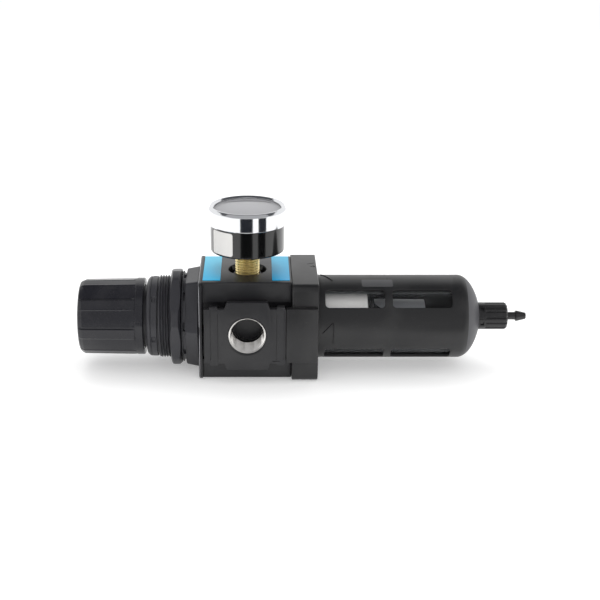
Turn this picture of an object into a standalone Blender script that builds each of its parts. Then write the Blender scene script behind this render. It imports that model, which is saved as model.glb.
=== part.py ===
"""Compressed air filter regulator, lying on its flats as it is stored.

The long axis runs along X: adjusting knob at -X, drain at +X. The gauge points up (+Z) and the
two pipe ports face -Y and +Y. Every piece is placed from the port centre on the long axis.
"""
import math

import bmesh
import bpy
from mathutils import Matrix, Vector

MM = 0.001
TAU = 2 * math.pi

# Clearances
GAP = 0.3 * MM
PULL_PLAY = 0.6 * MM

# Round pieces: sides of a full turn by size, and corners of a seal's section
SIDES_LARGE = 24
SIDES_BOWL = 24
SIDES_GAUGE = 24
SIDES_MEDIUM = 16
SIDES_SMALL = 12
SIDES_TINY = 6
SEAL_CORNERS = 5

# Body casting, lengths left and right of the port centre
BODY_LEFT = 25.2 * MM
BODY_RIGHT = 24.9 * MM
BODY_HALF_WIDTH = 24.0 * MM
BODY_HALF_HEIGHT = 28.0 * MM
BODY_EDGE = 1.2 * MM
FLANGE_THICKNESS = 2.2 * MM
FLANGE_HALF_WIDTH = 27.0 * MM
REST_HALF_HEIGHT = 28.7 * MM
FLANGE_CORNER = 3.0 * MM
SPIGOT_LENGTH = 3.6 * MM

# Pipe ports, 1/2-14 NPT, and their clamp flanges
PORT_HALF_SPAN = 33.1 * MM
PORT_MOUTH_RADIUS = 10.67 * MM
PORT_DEPTH = 16.0 * MM
PORT_TAPER = 1.0 / 32.0
PORT_LIP = 0.9 * MM
PORT_INNER_RADIUS = 6.2 * MM
PORT_PLATE_THICKNESS = 3.2 * MM
PORT_PLATE_LEFT = 24.0 * MM
PORT_PLATE_HALF_HEIGHT = 16.0 * MM
PORT_NECK_INSET = 3.0 * MM
PORT_RIB_OUTER = 20.9 * MM
PORT_RIB_INNER = 16.3 * MM
PORT_RIB_HEIGHT = 17.5 * MM
PORT_TAB_BASE = 12.1 * MM
PORT_TAB_TOP = 11.2 * MM
PORT_TAB_HEIGHT = 20.0 * MM

# Passages in the casting
OUTLET_CHAMBER_RADIUS = 8.2 * MM
OUTLET_CHAMBER_LENGTH = 8.2 * MM
VALVE_BORE_RADIUS = 10.0 * MM
SEAT_SHOULDER = 5.8 * MM
DIAPHRAGM_CHAMBER_RADIUS = 16.5 * MM
DIAPHRAGM_CHAMBER_DEPTH = 4.4 * MM
DIAPHRAGM_RIM_DEPTH = 1.4 * MM
FEED_RADIUS = 3.6 * MM
FEED_OFFSET = 14.5 * MM

# Pressure gauge, 1/4-18 NPT stem
GAUGE_STEM_RADIUS = 6.85 * MM
GAUGE_STEM_DEPTH = 11.5 * MM
GAUGE_WELL_RADIUS = 10.5 * MM
GAUGE_WELL_DEPTH = 3.0 * MM
SENSING_RADIUS = 1.3 * MM
GAUGE_NECK_RADIUS = 4.2 * MM
GAUGE_BORE_RADIUS = 1.2 * MM
GAUGE_CASE_BOTTOM = 40.7 * MM
GAUGE_CASE_RADIUS = 20.6 * MM
GAUGE_CASE_WALL = 2.0 * MM
GAUGE_CASE_FLOOR = 1.5 * MM
GAUGE_CASE_HEIGHT = 22.3 * MM
GAUGE_DIAL_SEAT = 18.0 * MM
GAUGE_DIAL_THICKNESS = 0.8 * MM
GAUGE_LENS_THICKNESS = 1.8 * MM
BEZEL_BOTTOM = 56.2 * MM
BEZEL_RADIUS = 21.66 * MM
BEZEL_OPENING_RADIUS = 18.4 * MM
BEZEL_LIP = 1.2 * MM
MOVEMENT_HEIGHT = 8.2 * MM
MOVEMENT_RADIUS = 16.5 * MM
MOVEMENT_THICKNESS = 1.0 * MM
BOURDON_COIL_RADIUS = 13.0 * MM
BOURDON_TUBE_RADIUS = 1.3 * MM
BOURDON_SWEEP_DEG = 250.0
BOURDON_HEIGHT = 3.2 * MM
BOURDON_ARM_HALF = 0.9 * MM
BOURDON_STEPS = 16
ARBOR_RADIUS = 0.7 * MM
POINTER_LENGTH = 14.0 * MM
POINTER_TAIL = 5.0 * MM
POINTER_WIDTH = 1.3 * MM
POINTER_HUB_RADIUS = 1.8 * MM
POINTER_THICKNESS = 0.5 * MM
POINTER_ZERO_DEG = 225.0
PINION_TEETH = 8
SECTOR_TEETH = 36
SECTOR_TEETH_CUT = 10
SECTOR_TEETH_AHEAD = 2.5
GEAR_MODULE = 0.5 * MM
GEAR_THICKNESS = 1.2 * MM
PLUG_RADIUS = 6.6 * MM
PLUG_LENGTH = 9.0 * MM
PLUG_HEX_RADIUS = 3.4 * MM

# Label plates on the top of the body
LABEL_THICKNESS = 0.4 * MM
LABEL_LENGTH = 9.9 * MM
LABEL_LEFT_X = -24.9 * MM
LABEL_RIGHT_X = 13.9 * MM
LABEL_BACK = 22.8 * MM
LABEL_FRONT = -20.6 * MM

# Bonnet
BONNET_BASE_LENGTH = 7.2 * MM
BONNET_HEX_RADIUS = 29.8 * MM
BONNET_HEX_FACE_RADIUS = 27.6 * MM
BONNET_HEX_CHAMFER = 1.5 * MM
BONNET_STEP_LENGTH = 2.0 * MM
BONNET_STEP_RADIUS = 25.3 * MM
BONNET_STEP_NOTCHES = 8
BONNET_NOTCH_WIDTH = 2.4 * MM
BONNET_NOTCH_DEPTH = 0.8 * MM
BONNET_THREAD_LENGTH = 13.5 * MM
BONNET_THREAD_RADIUS = 22.8 * MM
BONNET_RING_LENGTH = 6.1 * MM
BONNET_RING_RADIUS = 22.9 * MM
BONNET_RING_SLOTS = 8
BONNET_SLOT_START = 1.4 * MM
BONNET_SLOT_LENGTH = 2.0 * MM
BONNET_SLOT_WIDTH = 2.8 * MM
BONNET_SLOT_DEPTH = 0.9 * MM
BONNET_UNDERCUT_LENGTH = 0.7 * MM
BONNET_UNDERCUT_RADIUS = 21.6 * MM
BONNET_NECK_RADIUS = 17.6 * MM
BONNET_NECK_LENGTH = 27.0 * MM
BONNET_BORE_RADIUS = 15.4 * MM
BONNET_WALL = 4.0 * MM
GUIDE_GROOVE_DEPTH = 1.0 * MM
GUIDE_GROOVE_WIDTH = 4.6 * MM

# Panel nut
NUT_CORNER_RADIUS = 31.0 * MM
NUT_CROWN_RADIUS = 29.2 * MM
NUT_LENGTH = 6.0 * MM
NUT_FACE_RADIUS = 26.6 * MM
NUT_CHAMFER = 1.6 * MM
NUT_STAND_OFF = 0.6 * MM
NUT_TURN_DEG = -15.0

# Adjusting screw, spring seat and control spring
SCREW_RADIUS = 5.0 * MM
SCREW_JOURNAL_RADIUS = 5.2 * MM
SCREW_HEX_RADIUS = 4.6 * MM
SCREW_HEX_LENGTH = 7.2 * MM
SCREW_FLANGE_RADIUS = 9.0 * MM
SCREW_FLANGE_LENGTH = 2.0 * MM
SCREW_THREAD_LENGTH = 26.0 * MM
WASHER_THICKNESS = 1.0 * MM
SEAT_THICKNESS = 2.8 * MM
SEAT_HUB_LENGTH = 5.0 * MM
SEAT_HUB_RADIUS = 8.2 * MM
SEAT_RADIUS = 15.1 * MM
CONTROL_COIL_RADIUS = 11.6 * MM
CONTROL_WIRE_RADIUS = 1.4 * MM
CONTROL_TURNS = 7

# Diaphragm and valve
DIAPHRAGM_RADIUS = 20.4 * MM
DIAPHRAGM_THICKNESS = 1.1 * MM
DIAPHRAGM_RECESS_RADIUS = 20.7 * MM
PLATE_RADIUS = 14.8 * MM
PLATE_THICKNESS = 1.5 * MM
PLATE_BOSS_RADIUS = 5.6 * MM
PLATE_BOSS_LENGTH = 2.8 * MM
HUB_RADIUS = 3.0 * MM
HUB_FLANGE_RADIUS = 8.0 * MM
HUB_FLANGE_THICKNESS = 1.4 * MM
RELIEF_HOLE_RADIUS = 0.8 * MM
VALVE_TRAVEL = 1.2 * MM
STEM_RADIUS = 1.7 * MM
POPPET_RADIUS = 7.0 * MM
POPPET_THICKNESS = 3.0 * MM
SEAT_RING_THICKNESS = 2.0 * MM
SEAT_RING_BORE = 5.0 * MM
VALVE_SPRING_LENGTH = 9.0 * MM
VALVE_COIL_RADIUS = 4.7 * MM
VALVE_WIRE_RADIUS = 0.5 * MM
VALVE_TURNS = 5
GUIDE_FLANGE_THICKNESS = 2.4 * MM
GUIDE_NECK_RADIUS = 6.0 * MM
GUIDE_NECK_LENGTH = 15.0 * MM
GUIDE_HOLES = 6
GUIDE_HOLE_RADIUS = 1.4 * MM
GUIDE_HOLE_CIRCLE = 7.8 * MM
GUIDE_FLOOR = 3.0 * MM

# Adjusting knob
KNOB_RADIUS = 22.0 * MM
KNOB_TAPER = 0.6 * MM
KNOB_GRIP_LENGTH = 33.4 * MM
KNOB_SKIRT_LENGTH = 4.3 * MM
KNOB_SKIRT_RADIUS = 22.2 * MM
KNOB_EDGE = 3.2 * MM
KNOB_STAND_OFF = 1.8 * MM
KNOB_END_WALL = 4.4 * MM
KNOB_HUB_RADIUS = 8.0 * MM
KNOB_HUB_CLEARANCE = 1.0 * MM
KNOB_FLATS = 8
KNOB_FLAT_DEG = 27.0
KNOB_FLAT_DEPTH = 0.55 * MM
KNOB_GROOVE_WIDTH = 1.1 * MM
KNOB_GROOVE_DEPTH = 0.9 * MM
KNOB_PHASE_DEG = 1.0
KNOB_GROOVE_PHASE_DEG = 0.6

# Bowl collar
COLLAR_STAND_OFF = 0.6 * MM
COLLAR_LENGTH = 14.3 * MM
COLLAR_EDGE = 4.0 * MM
COLLAR_PAD_HALF_HEIGHT = 16.0 * MM
COLLAR_PAD_SET_BACK = 0.2 * MM
COLLAR_PAD_HEIGHT = 3.1 * MM
COLLAR_PAD_ROOT = 1.4 * MM
COLLAR_PAD_OVERHANG = 3.8 * MM
COLLAR_WEB_THICKNESS = 1.7 * MM
SCREW_POSITION_Y = 20.6 * MM
SCREW_POSITION_Z = 22.6 * MM
FIXING_RADIUS = 1.5 * MM
FIXING_HEAD_RADIUS = 2.8 * MM
FIXING_HEAD_LENGTH = 3.0 * MM
FIXING_HEAD_SINK = 0.8 * MM
FIXING_LENGTH = 17.0 * MM
FIXING_HEX_RADIUS = 1.45 * MM

# Bowl, guard and bayonet
GUARD_RADIUS = 23.9 * MM
GUARD_WALL = 1.7 * MM
GUARD_DOME_LENGTH = 13.4 * MM
DOME_FULLNESS = 1.25
GUARD_TUCK = 7.2 * MM
LUG_REACH = 1.7 * MM
LUG_LENGTH = 3.0 * MM
LUG_COUNT = 3
LUG_ANGLE_DEG = 24.0
LUG_ENTRY_DEG = 30.0
BAYONET_TURN_DEG = 45.0
WINDOW_COLUMNS = 4
WINDOW_ANGLE_DEG = 27.0
WINDOW_LENGTH = 33.7 * MM
WINDOW_RIB = 4.2 * MM
WINDOW_END_MARGIN = 5.4 * MM
WINDOW_TOOL_DEPTH = 6.0 * MM
WINDOW_CORNER = 2.4 * MM
BOWL_RADIUS = 21.3 * MM
BOWL_WALL = 1.8 * MM
BOWL_RIM_REACH = 1.7 * MM
BOWL_RIM_LENGTH = 1.6 * MM
BOWL_DOME_SET_BACK = 2.2 * MM
BOWL_DOME_LENGTH = 11.5 * MM
BOWL_BOSS_RADIUS = 5.4 * MM
BOWL_BOSS_LENGTH = 11.5 * MM
ORING_RADIUS = 0.9 * MM

# Filter
DEFLECTOR_DISC = 1.6 * MM
DEFLECTOR_VANES = 9
DEFLECTOR_VANE_LENGTH = 6.0 * MM
DEFLECTOR_VANE_THICKNESS = 1.0 * MM
DEFLECTOR_VANE_TILT_DEG = 35.0
GASKET_THICKNESS = 1.4 * MM
ELEMENT_RADIUS = 15.0 * MM
ELEMENT_BORE = 10.5 * MM
ELEMENT_LENGTH = 30.4 * MM
BAFFLE_RADIUS = 17.2 * MM
BAFFLE_DISC = 3.0 * MM
BAFFLE_STEM_RADIUS = 3.0 * MM
BAFFLE_SKIRT_RADIUS = 9.7 * MM
BAFFLE_SKIRT_LENGTH = 30.0 * MM
BAFFLE_SKIRT_WALL = 1.6 * MM

# Drain
DRAIN_KNOB_RADIUS = 7.86 * MM
DRAIN_KNOB_LENGTH = 17.0 * MM
DRAIN_KNOB_SINK = 0.4 * MM
DRAIN_KNOB_FLUTES = 14
DRAIN_FLUTE_RADIUS = 0.75 * MM
DRAIN_FLUTE_START = 4.2 * MM
DRAIN_SLOT_START = 1.6 * MM
DRAIN_SLOT_LENGTH = 1.8 * MM
DRAIN_SLOT_WIDTH = 2.6 * MM
DRAIN_KNOB_CHAMFER = 1.2 * MM
DRAIN_KNOB_SLOTS = 6
DRAIN_STEM_RADIUS = 2.25 * MM
DRAIN_HEAD_RADIUS = 4.4 * MM
DRAIN_HEAD_LENGTH = 2.4 * MM
DRAIN_SEAL_RADIUS = 0.8 * MM
BARB_RADIUS = 3.08 * MM
BARB_NECK_LENGTH = 5.2 * MM
BARB_LENGTH = 6.2 * MM
BARB_TIP_RADIUS = 1.9 * MM
BARB_BORE = 1.2 * MM


def dome_reach(radius, mouth):
    """How far along its length a dome has come when it has closed in to its mouth."""
    return math.sin(math.acos((mouth / radius) ** (1 / DOME_FULLNESS)))


# Places along the long axis, worked out from the sizes above
body_left = -BODY_LEFT
flange_left = body_left - FLANGE_THICKNESS
chamber_floor = flange_left + DIAPHRAGM_CHAMBER_DEPTH
rim_floor = flange_left + DIAPHRAGM_RIM_DEPTH
diaphragm_right = rim_floor - GAP
diaphragm_left = diaphragm_right - DIAPHRAGM_THICKNESS
bonnet_right = diaphragm_left - GAP
bonnet_base_left = bonnet_right - BONNET_BASE_LENGTH
bonnet_step_left = bonnet_base_left - BONNET_STEP_LENGTH
thread_left = bonnet_step_left - BONNET_THREAD_LENGTH
undercut_left = thread_left - BONNET_UNDERCUT_LENGTH
ring_left = undercut_left - BONNET_RING_LENGTH
neck_left = ring_left - BONNET_NECK_LENGTH
bonnet_floor = neck_left + BONNET_WALL
nut_right = bonnet_step_left - NUT_STAND_OFF
nut_left = nut_right - NUT_LENGTH

knob_right = ring_left - KNOB_STAND_OFF
knob_grip_right = knob_right - KNOB_SKIRT_LENGTH
knob_left = knob_grip_right - KNOB_GRIP_LENGTH
knob_floor = knob_left + KNOB_END_WALL

washer_left = bonnet_floor + GAP
washer_right = washer_left + WASHER_THICKNESS
screw_flange_left = washer_right + GAP
screw_flange_right = screw_flange_left + SCREW_FLANGE_LENGTH
screw_right = screw_flange_right + SCREW_THREAD_LENGTH
screw_hex_right = neck_left - GAP
screw_left = screw_hex_right - SCREW_HEX_LENGTH
seat_left = screw_flange_right + GAP
seat_right = seat_left + SEAT_THICKNESS

plate_right = diaphragm_left - GAP
plate_left = plate_right - PLATE_THICKNESS
hub_flange_left = diaphragm_right + GAP
hub_flange_right = hub_flange_left + HUB_FLANGE_THICKNESS
stem_left = hub_flange_right + GAP

seat_shoulder = -SEAT_SHOULDER
outlet_left = seat_shoulder - OUTLET_CHAMBER_LENGTH
ring_seat_left = seat_shoulder + GAP
ring_seat_right = ring_seat_left + SEAT_RING_THICKNESS
poppet_left = ring_seat_right + GAP
poppet_right = poppet_left + POPPET_THICKNESS
valve_spring_left = poppet_right + GAP
valve_spring_right = valve_spring_left + VALVE_SPRING_LENGTH
guide_left = valve_spring_right + GAP
guide_flange_right = guide_left + GUIDE_FLANGE_THICKNESS
guide_right = guide_flange_right + GUIDE_NECK_LENGTH
guide_socket_floor = guide_left + GUIDE_FLOOR

collar_left = BODY_RIGHT + COLLAR_STAND_OFF
collar_right = collar_left + COLLAR_LENGTH
collar_web_right = collar_left + COLLAR_WEB_THICKNESS
pad_left = collar_left - COLLAR_PAD_OVERHANG
port_plate_right = pad_left - GAP
bowl_left = collar_web_right + GAP
guard_left = collar_right - GUARD_TUCK
bowl_rim_right = guard_left - GAP
bowl_rim_left = bowl_rim_right - BOWL_RIM_LENGTH
oring_place = (bowl_left + bowl_rim_left) / 2
lug_left = guard_left + GAP
lug_right = lug_left + LUG_LENGTH
pad_reach = PORT_HALF_SPAN - COLLAR_PAD_SET_BACK
collar_half_width = pad_reach - COLLAR_PAD_HEIGHT
guard_inner = GUARD_RADIUS - GUARD_WALL
window_starts = (collar_right + WINDOW_RIB, collar_right + WINDOW_LENGTH + 2 * WINDOW_RIB)
guard_cylinder_end = window_starts[-1] + WINDOW_LENGTH + WINDOW_END_MARGIN
bowl_dome_start = guard_cylinder_end - BOWL_DOME_SET_BACK
bowl_bore = BOWL_RADIUS - BOWL_WALL
spigot_radius = bowl_bore - 2 * GAP
collar_guard_bore = GUARD_RADIUS + GAP
collar_bowl_bore = BOWL_RADIUS + GAP
spigot_right = BODY_RIGHT + SPIGOT_LENGTH
guard_mouth = DRAIN_KNOB_RADIUS + GAP
guard_right = guard_cylinder_end + GUARD_DOME_LENGTH * dome_reach(GUARD_RADIUS, guard_mouth)
bowl_right = bowl_dome_start + BOWL_DOME_LENGTH * dome_reach(BOWL_RADIUS, BOWL_BOSS_RADIUS)
bowl_floor = bowl_right - BOWL_WALL * 1.2

deflector_left = spigot_right + GAP
vanes_left = deflector_left + DEFLECTOR_DISC
deflector_right = vanes_left + DEFLECTOR_VANE_LENGTH
gasket_left = deflector_right + GAP
gasket_right = gasket_left + GASKET_THICKNESS
element_left = gasket_right + GAP
element_right = element_left + ELEMENT_LENGTH
baffle_left = element_right + GAP
baffle_disc_right = baffle_left + BAFFLE_DISC
baffle_right = baffle_disc_right + BAFFLE_SKIRT_LENGTH

drain_knob_left = guard_right - DRAIN_KNOB_SINK
drain_knob_right = drain_knob_left + DRAIN_KNOB_LENGTH
boss_right = bowl_right + BOWL_BOSS_LENGTH
barb_left = drain_knob_right + BARB_NECK_LENGTH
drain_right = barb_left + BARB_LENGTH

# The whole object is centred end to end, and stands on its flats
centre_shift = -(knob_left + drain_right) / 2
axis_height = REST_HALF_HEIGHT


def clear_scene():
    """Remove what the file holds, so that the model starts empty."""
    for item in list(bpy.data.objects):
        bpy.data.objects.remove(item, do_unlink=True)


def make_material(name, colour, roughness, metallic=0.0, alpha=1.0):
    """A Principled material with the colour, roughness and metallic value of one piece."""
    material = bpy.data.materials.new(name)
    material.use_nodes = True
    shader = material.node_tree.nodes["Principled BSDF"]
    shader.inputs["Base Color"].default_value = (*colour, 1.0)
    shader.inputs["Roughness"].default_value = roughness
    shader.inputs["Metallic"].default_value = metallic
    shader.inputs["Alpha"].default_value = alpha
    return material


def make_frame():
    """The empty that carries the long axis: X along it, Z up through the gauge."""
    frame = bpy.data.objects.new("long_axis", None)
    frame.location = (centre_shift, 0.0, axis_height)
    bpy.context.collection.objects.link(frame)
    return frame


def finish(name, bm, material, origin=(0.0, 0.0, 0.0), smooth_deg=35.0):
    """Turn a bmesh into a named object whose origin sits at a point of the long axis frame."""
    bmesh.ops.remove_doubles(bm, verts=bm.verts[:], dist=1e-6)
    bmesh.ops.recalc_face_normals(bm, faces=bm.faces[:])
    bmesh.ops.translate(bm, verts=bm.verts[:], vec=-Vector(origin))
    mesh = bpy.data.meshes.new(name)
    bm.to_mesh(mesh)
    bm.free()
    mesh.shade_smooth()
    mesh.set_sharp_from_angle(angle=math.radians(smooth_deg))
    item = bpy.data.objects.new(name, mesh)
    item.location = origin
    bpy.context.collection.objects.link(item)
    item.parent = bpy.data.objects["long_axis"]
    if material:
        mesh.materials.append(material)
    return item


def turned(profile, sides, axis="X"):
    """A closed ring or a solid of revolution from (place, radius) points about X or Z."""
    bm = bmesh.new()
    verts = [bm.verts.new((place, 0.0, radius)) for place, radius in profile]
    pairs = list(zip(verts, verts[1:]))
    if profile[0][1] > 0.0 or profile[-1][1] > 0.0:
        pairs.append((verts[-1], verts[0]))
    edges = [bm.edges.new(pair) for pair in pairs]
    bmesh.ops.spin(bm, geom=verts + edges, cent=(0, 0, 0), axis=(1, 0, 0), angle=TAU,
                   steps=int(sides), use_duplicate=False)
    if axis == "Z":
        bmesh.ops.rotate(bm, verts=bm.verts[:], cent=(0, 0, 0), matrix=Matrix.Rotation(-TAU / 4, 3, "Y"))
    bmesh.ops.remove_doubles(bm, verts=bm.verts[:], dist=1e-7)
    return bm


def tube(start, end, outer, inner):
    """The profile of a plain tube or ring."""
    return [(start, outer), (end, outer), (end, inner), (start, inner)]


def rod(start, end, radius):
    """The profile of a plain solid rod, closed on the axis."""
    return [(start, 0.0), (start, radius), (end, radius), (end, 0.0)]


def prism(outline, depth, axis="X", start=0.0):
    """Extrude a flat outline along an axis: (y, z) along X, (x, z) along Y, (x, y) along Z."""
    place = {
        "X": lambda a, b: (start, a, b),
        "Y": lambda a, b: (a, start, b),
        "Z": lambda a, b: (a, b, start),
    }[axis]
    step = {"X": (depth, 0, 0), "Y": (0, depth, 0), "Z": (0, 0, depth)}[axis]
    bm = bmesh.new()
    face = bm.faces.new([bm.verts.new(place(a, b)) for a, b in outline])
    made = bmesh.ops.extrude_face_region(bm, geom=[face])
    moved = [v for v in made["geom"] if isinstance(v, bmesh.types.BMVert)]
    bmesh.ops.translate(bm, verts=moved, vec=step)
    return bm


def polygon(radius, count, phase_deg=0.0):
    """The corners of a regular polygon, by its corner radius."""
    return [
        (radius * math.cos(math.radians(phase_deg) + TAU * i / count),
         radius * math.sin(math.radians(phase_deg) + TAU * i / count))
        for i in range(count)
    ]


def rounded_box(half_a, half_b, corner, steps=3):
    """The outline of a rectangle with round corners."""
    points = []
    for quarter, (sign_a, sign_b) in enumerate(((1, 1), (-1, 1), (-1, -1), (1, -1))):
        for i in range(steps + 1):
            angle = TAU / 4 * (quarter + i / steps)
            points.append((sign_a * (half_a - corner) + corner * math.cos(angle),
                           sign_b * (half_b - corner) + corner * math.sin(angle)))
    return points


def block(low, high):
    """A plain box between two corners."""
    size = Vector(high) - Vector(low)
    bm = bmesh.new()
    bmesh.ops.create_cube(bm, size=1.0)
    bmesh.ops.scale(bm, verts=bm.verts[:], vec=size)
    bmesh.ops.translate(bm, verts=bm.verts[:], vec=(Vector(high) + Vector(low)) / 2)
    return bm


def helix(coil_radius, wire_radius, start, end, turns, steps, sides):
    """A spring wound about X, its end turns lying flat, as one closed tube."""
    bm = bmesh.new()
    count = turns * steps
    lead_in = start + wire_radius
    lead_out = end - wire_radius
    rings = []
    for i in range(count + 1):
        turn = i / steps
        share = min(max((turn - 0.6) / (turns - 1.2), 0.0), 1.0)
        place = lead_in + (lead_out - lead_in) * share
        angle = TAU * turn
        radial = Vector((0, math.cos(angle), math.sin(angle)))
        centre = Vector((place, 0, 0)) + radial * coil_radius
        rings.append([
            bm.verts.new(centre + (radial * math.cos(TAU * k / sides)
                                   + Vector((1, 0, 0)) * math.sin(TAU * k / sides)) * wire_radius)
            for k in range(sides)
        ])
    for first, second in zip(rings, rings[1:]):
        for k in range(sides):
            bm.faces.new((first[k], first[(k + 1) % sides], second[(k + 1) % sides], second[k]))
    bm.faces.new(rings[0])
    bm.faces.new(rings[-1])
    return bm


def turn_mesh(bm, angle_deg, axis="X", centre=(0, 0, 0)):
    """Turn a bmesh about an axis through a point."""
    turn = Matrix.Rotation(math.radians(angle_deg), 3, axis)
    bmesh.ops.rotate(bm, verts=bm.verts[:], cent=centre, matrix=turn)
    return bm


def shift_mesh(bm, vector):
    """Move a bmesh."""
    bmesh.ops.translate(bm, verts=bm.verts[:], vec=vector)
    return bm


def as_cutter(item):
    """Keep an object as a Boolean tool only, out of the finished model."""
    item.hide_render = True
    item.display_type = "WIRE"
    return item


def add_boolean(target, tool, operation):
    """Add one exact Boolean modifier to an object."""
    modifier = target.modifiers.new(tool.name, "BOOLEAN")
    modifier.operation = operation
    modifier.solver = "EXACT"
    modifier.object = tool


def combine(target, shapes, operation="DIFFERENCE"):
    """Cut, join or intersect an object with bmesh shapes by exact Boolean modifiers."""
    for bm in shapes:
        name = f"{target.name}_{operation.lower()}_{len(target.modifiers) + 1}"
        add_boolean(target, as_cutter(finish(name, bm, None)), operation)
    return target


def port_outline():
    """The clamp flange seen from the front: a plate with a centre tab and two raised side ribs."""
    steps = [
        (PORT_RIB_OUTER, PORT_PLATE_HALF_HEIGHT),
        (PORT_RIB_OUTER, PORT_RIB_HEIGHT),
        (PORT_RIB_INNER, PORT_RIB_HEIGHT),
        (PORT_RIB_INNER, PORT_PLATE_HALF_HEIGHT),
        (PORT_TAB_BASE, PORT_PLATE_HALF_HEIGHT),
        (PORT_TAB_TOP, PORT_TAB_HEIGHT),
    ]
    upper = [(port_plate_right, PORT_PLATE_HALF_HEIGHT)] + steps
    upper += [(-x, z) for x, z in reversed(steps)] + [(-PORT_PLATE_LEFT, PORT_PLATE_HALF_HEIGHT)]
    return upper + [(x, -z) for x, z in reversed(upper)]


def build_body(metal):
    """The casting: core, left flange, spigot, two clamp flanges and the air passages."""
    overlap = 1.0 * MM
    core = prism(rounded_box(BODY_HALF_WIDTH, BODY_HALF_HEIGHT, BODY_EDGE, 2),
                 BODY_LEFT + BODY_RIGHT + overlap, "X", body_left - overlap)
    body = finish("main_body", core, metal)
    joined = [
        prism(rounded_box(FLANGE_HALF_WIDTH, REST_HALF_HEIGHT, FLANGE_CORNER),
              FLANGE_THICKNESS, "X", flange_left),
        turned(rod(BODY_RIGHT - overlap, spigot_right, spigot_radius), SIDES_LARGE),
    ]
    for side in (-1, 1):
        neck_end = PORT_HALF_SPAN - PORT_PLATE_THICKNESS / 2
        neck_start = BODY_HALF_WIDTH - overlap
        neck_left_x = PORT_NECK_INSET - PORT_PLATE_LEFT
        neck_right_x = port_plate_right - PORT_NECK_INSET
        neck_height = PORT_PLATE_HALF_HEIGHT - PORT_NECK_INSET
        neck = [(neck_left_x, neck_height), (neck_left_x, -neck_height),
                (neck_right_x, -neck_height), (neck_right_x, neck_height)]
        joined.append(prism(neck, side * (neck_end - neck_start), "Y", side * neck_start))
        joined.append(prism(port_outline(), -side * PORT_PLATE_THICKNESS, "Y", side * PORT_HALF_SPAN))
    combine(body, joined, "UNION")
    cuts = []
    for side in (-1, 1):
        floor = PORT_HALF_SPAN - PORT_DEPTH
        mouth = PORT_HALF_SPAN - PORT_LIP
        bore = turned([
            (floor, 0.0),
            (floor, PORT_MOUTH_RADIUS - PORT_TAPER * PORT_DEPTH),
            (mouth, PORT_MOUTH_RADIUS - PORT_TAPER * PORT_LIP),
            (PORT_HALF_SPAN + overlap, PORT_MOUTH_RADIUS + PORT_LIP + overlap),
            (PORT_HALF_SPAN + overlap, 0.0),
        ], SIDES_LARGE)
        cuts.append(turn_mesh(bore, side * 90, "Z"))
    inlet_start = BODY_RIGHT - 3 * PORT_INNER_RADIUS
    inlet = turned(rod(inlet_start, spigot_right + overlap, FEED_RADIUS), SIDES_SMALL)
    cuts.append(shift_mesh(inlet, (0, -FEED_OFFSET, 0)))
    outlet = turned(rod(0.0, PORT_HALF_SPAN - PORT_DEPTH + overlap, FEED_RADIUS), SIDES_SMALL)
    outlet_x = (outlet_left + seat_shoulder) / 2
    cuts.append(shift_mesh(turn_mesh(outlet, 90, "Z"), (outlet_x, 0, 0)))
    cuts.append(turned(rod(outlet_left, seat_shoulder + overlap, OUTLET_CHAMBER_RADIUS), SIDES_MEDIUM))
    cuts.append(turned(rod(seat_shoulder, spigot_right + overlap, VALVE_BORE_RADIUS), SIDES_MEDIUM))
    cuts.append(turned(rod(chamber_floor - overlap, outlet_left + overlap, STEM_RADIUS + GAP), SIDES_TINY))
    cuts.append(turned([
        (flange_left - overlap, 0.0),
        (flange_left - overlap, DIAPHRAGM_RECESS_RADIUS),
        (rim_floor, DIAPHRAGM_RECESS_RADIUS),
        (rim_floor, DIAPHRAGM_CHAMBER_RADIUS),
        (chamber_floor, DIAPHRAGM_CHAMBER_RADIUS),
        (chamber_floor, 0.0),
    ], SIDES_LARGE))
    for side in (1, -1):
        top = side * (BODY_HALF_HEIGHT + overlap)
        seat = side * (BODY_HALF_HEIGHT - GAUGE_WELL_DEPTH)
        stem_floor = side * (BODY_HALF_HEIGHT - GAUGE_WELL_DEPTH - GAUGE_STEM_DEPTH)
        radius = GAUGE_STEM_RADIUS if side > 0 else PLUG_RADIUS
        well = GAUGE_WELL_RADIUS if side > 0 else PLUG_RADIUS + 1.0 * MM
        cuts.append(turned([
            (stem_floor, 0.0),
            (stem_floor, radius + GAP),
            (seat, radius + GAP),
            (seat, well),
            (top, well),
            (top, 0.0),
        ], SIDES_MEDIUM, "Z"))
        slant = turned(rod(0.0, abs(stem_floor) + overlap, SENSING_RADIUS), SIDES_TINY, "Z")
        turn_mesh(slant, 0.0 if side > 0 else 180.0, "X")
        lean = math.degrees(math.atan2(-outlet_x, abs(stem_floor)))
        cuts.append(shift_mesh(turn_mesh(slant, side * lean, "Y"), (outlet_x, 0, 0)))
    for y, z in screw_places():
        cuts.append(shift_mesh(turned(rod(BODY_RIGHT - FIXING_LENGTH, BODY_RIGHT + overlap,
                                          FIXING_RADIUS + GAP), SIDES_TINY), (0, y, z)))
    combine(body, cuts)
    return body


def screw_places():
    """Where the four collar screws run, round the long axis."""
    return [(y * SCREW_POSITION_Y, z * SCREW_POSITION_Z) for y in (-1, 1) for z in (-1, 1)]


def build_labels(film):
    """Two thin printed plates on the top of the body, left bare."""
    bottom = BODY_HALF_HEIGHT + GAP
    for name, left in (("label_plate_left", LABEL_LEFT_X), ("label_plate_right", LABEL_RIGHT_X)):
        outline = [(left, LABEL_FRONT), (left + LABEL_LENGTH, LABEL_FRONT),
                   (left + LABEL_LENGTH, LABEL_BACK), (left, LABEL_BACK)]
        finish(name, prism(outline, LABEL_THICKNESS, "Z", bottom), film)


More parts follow.
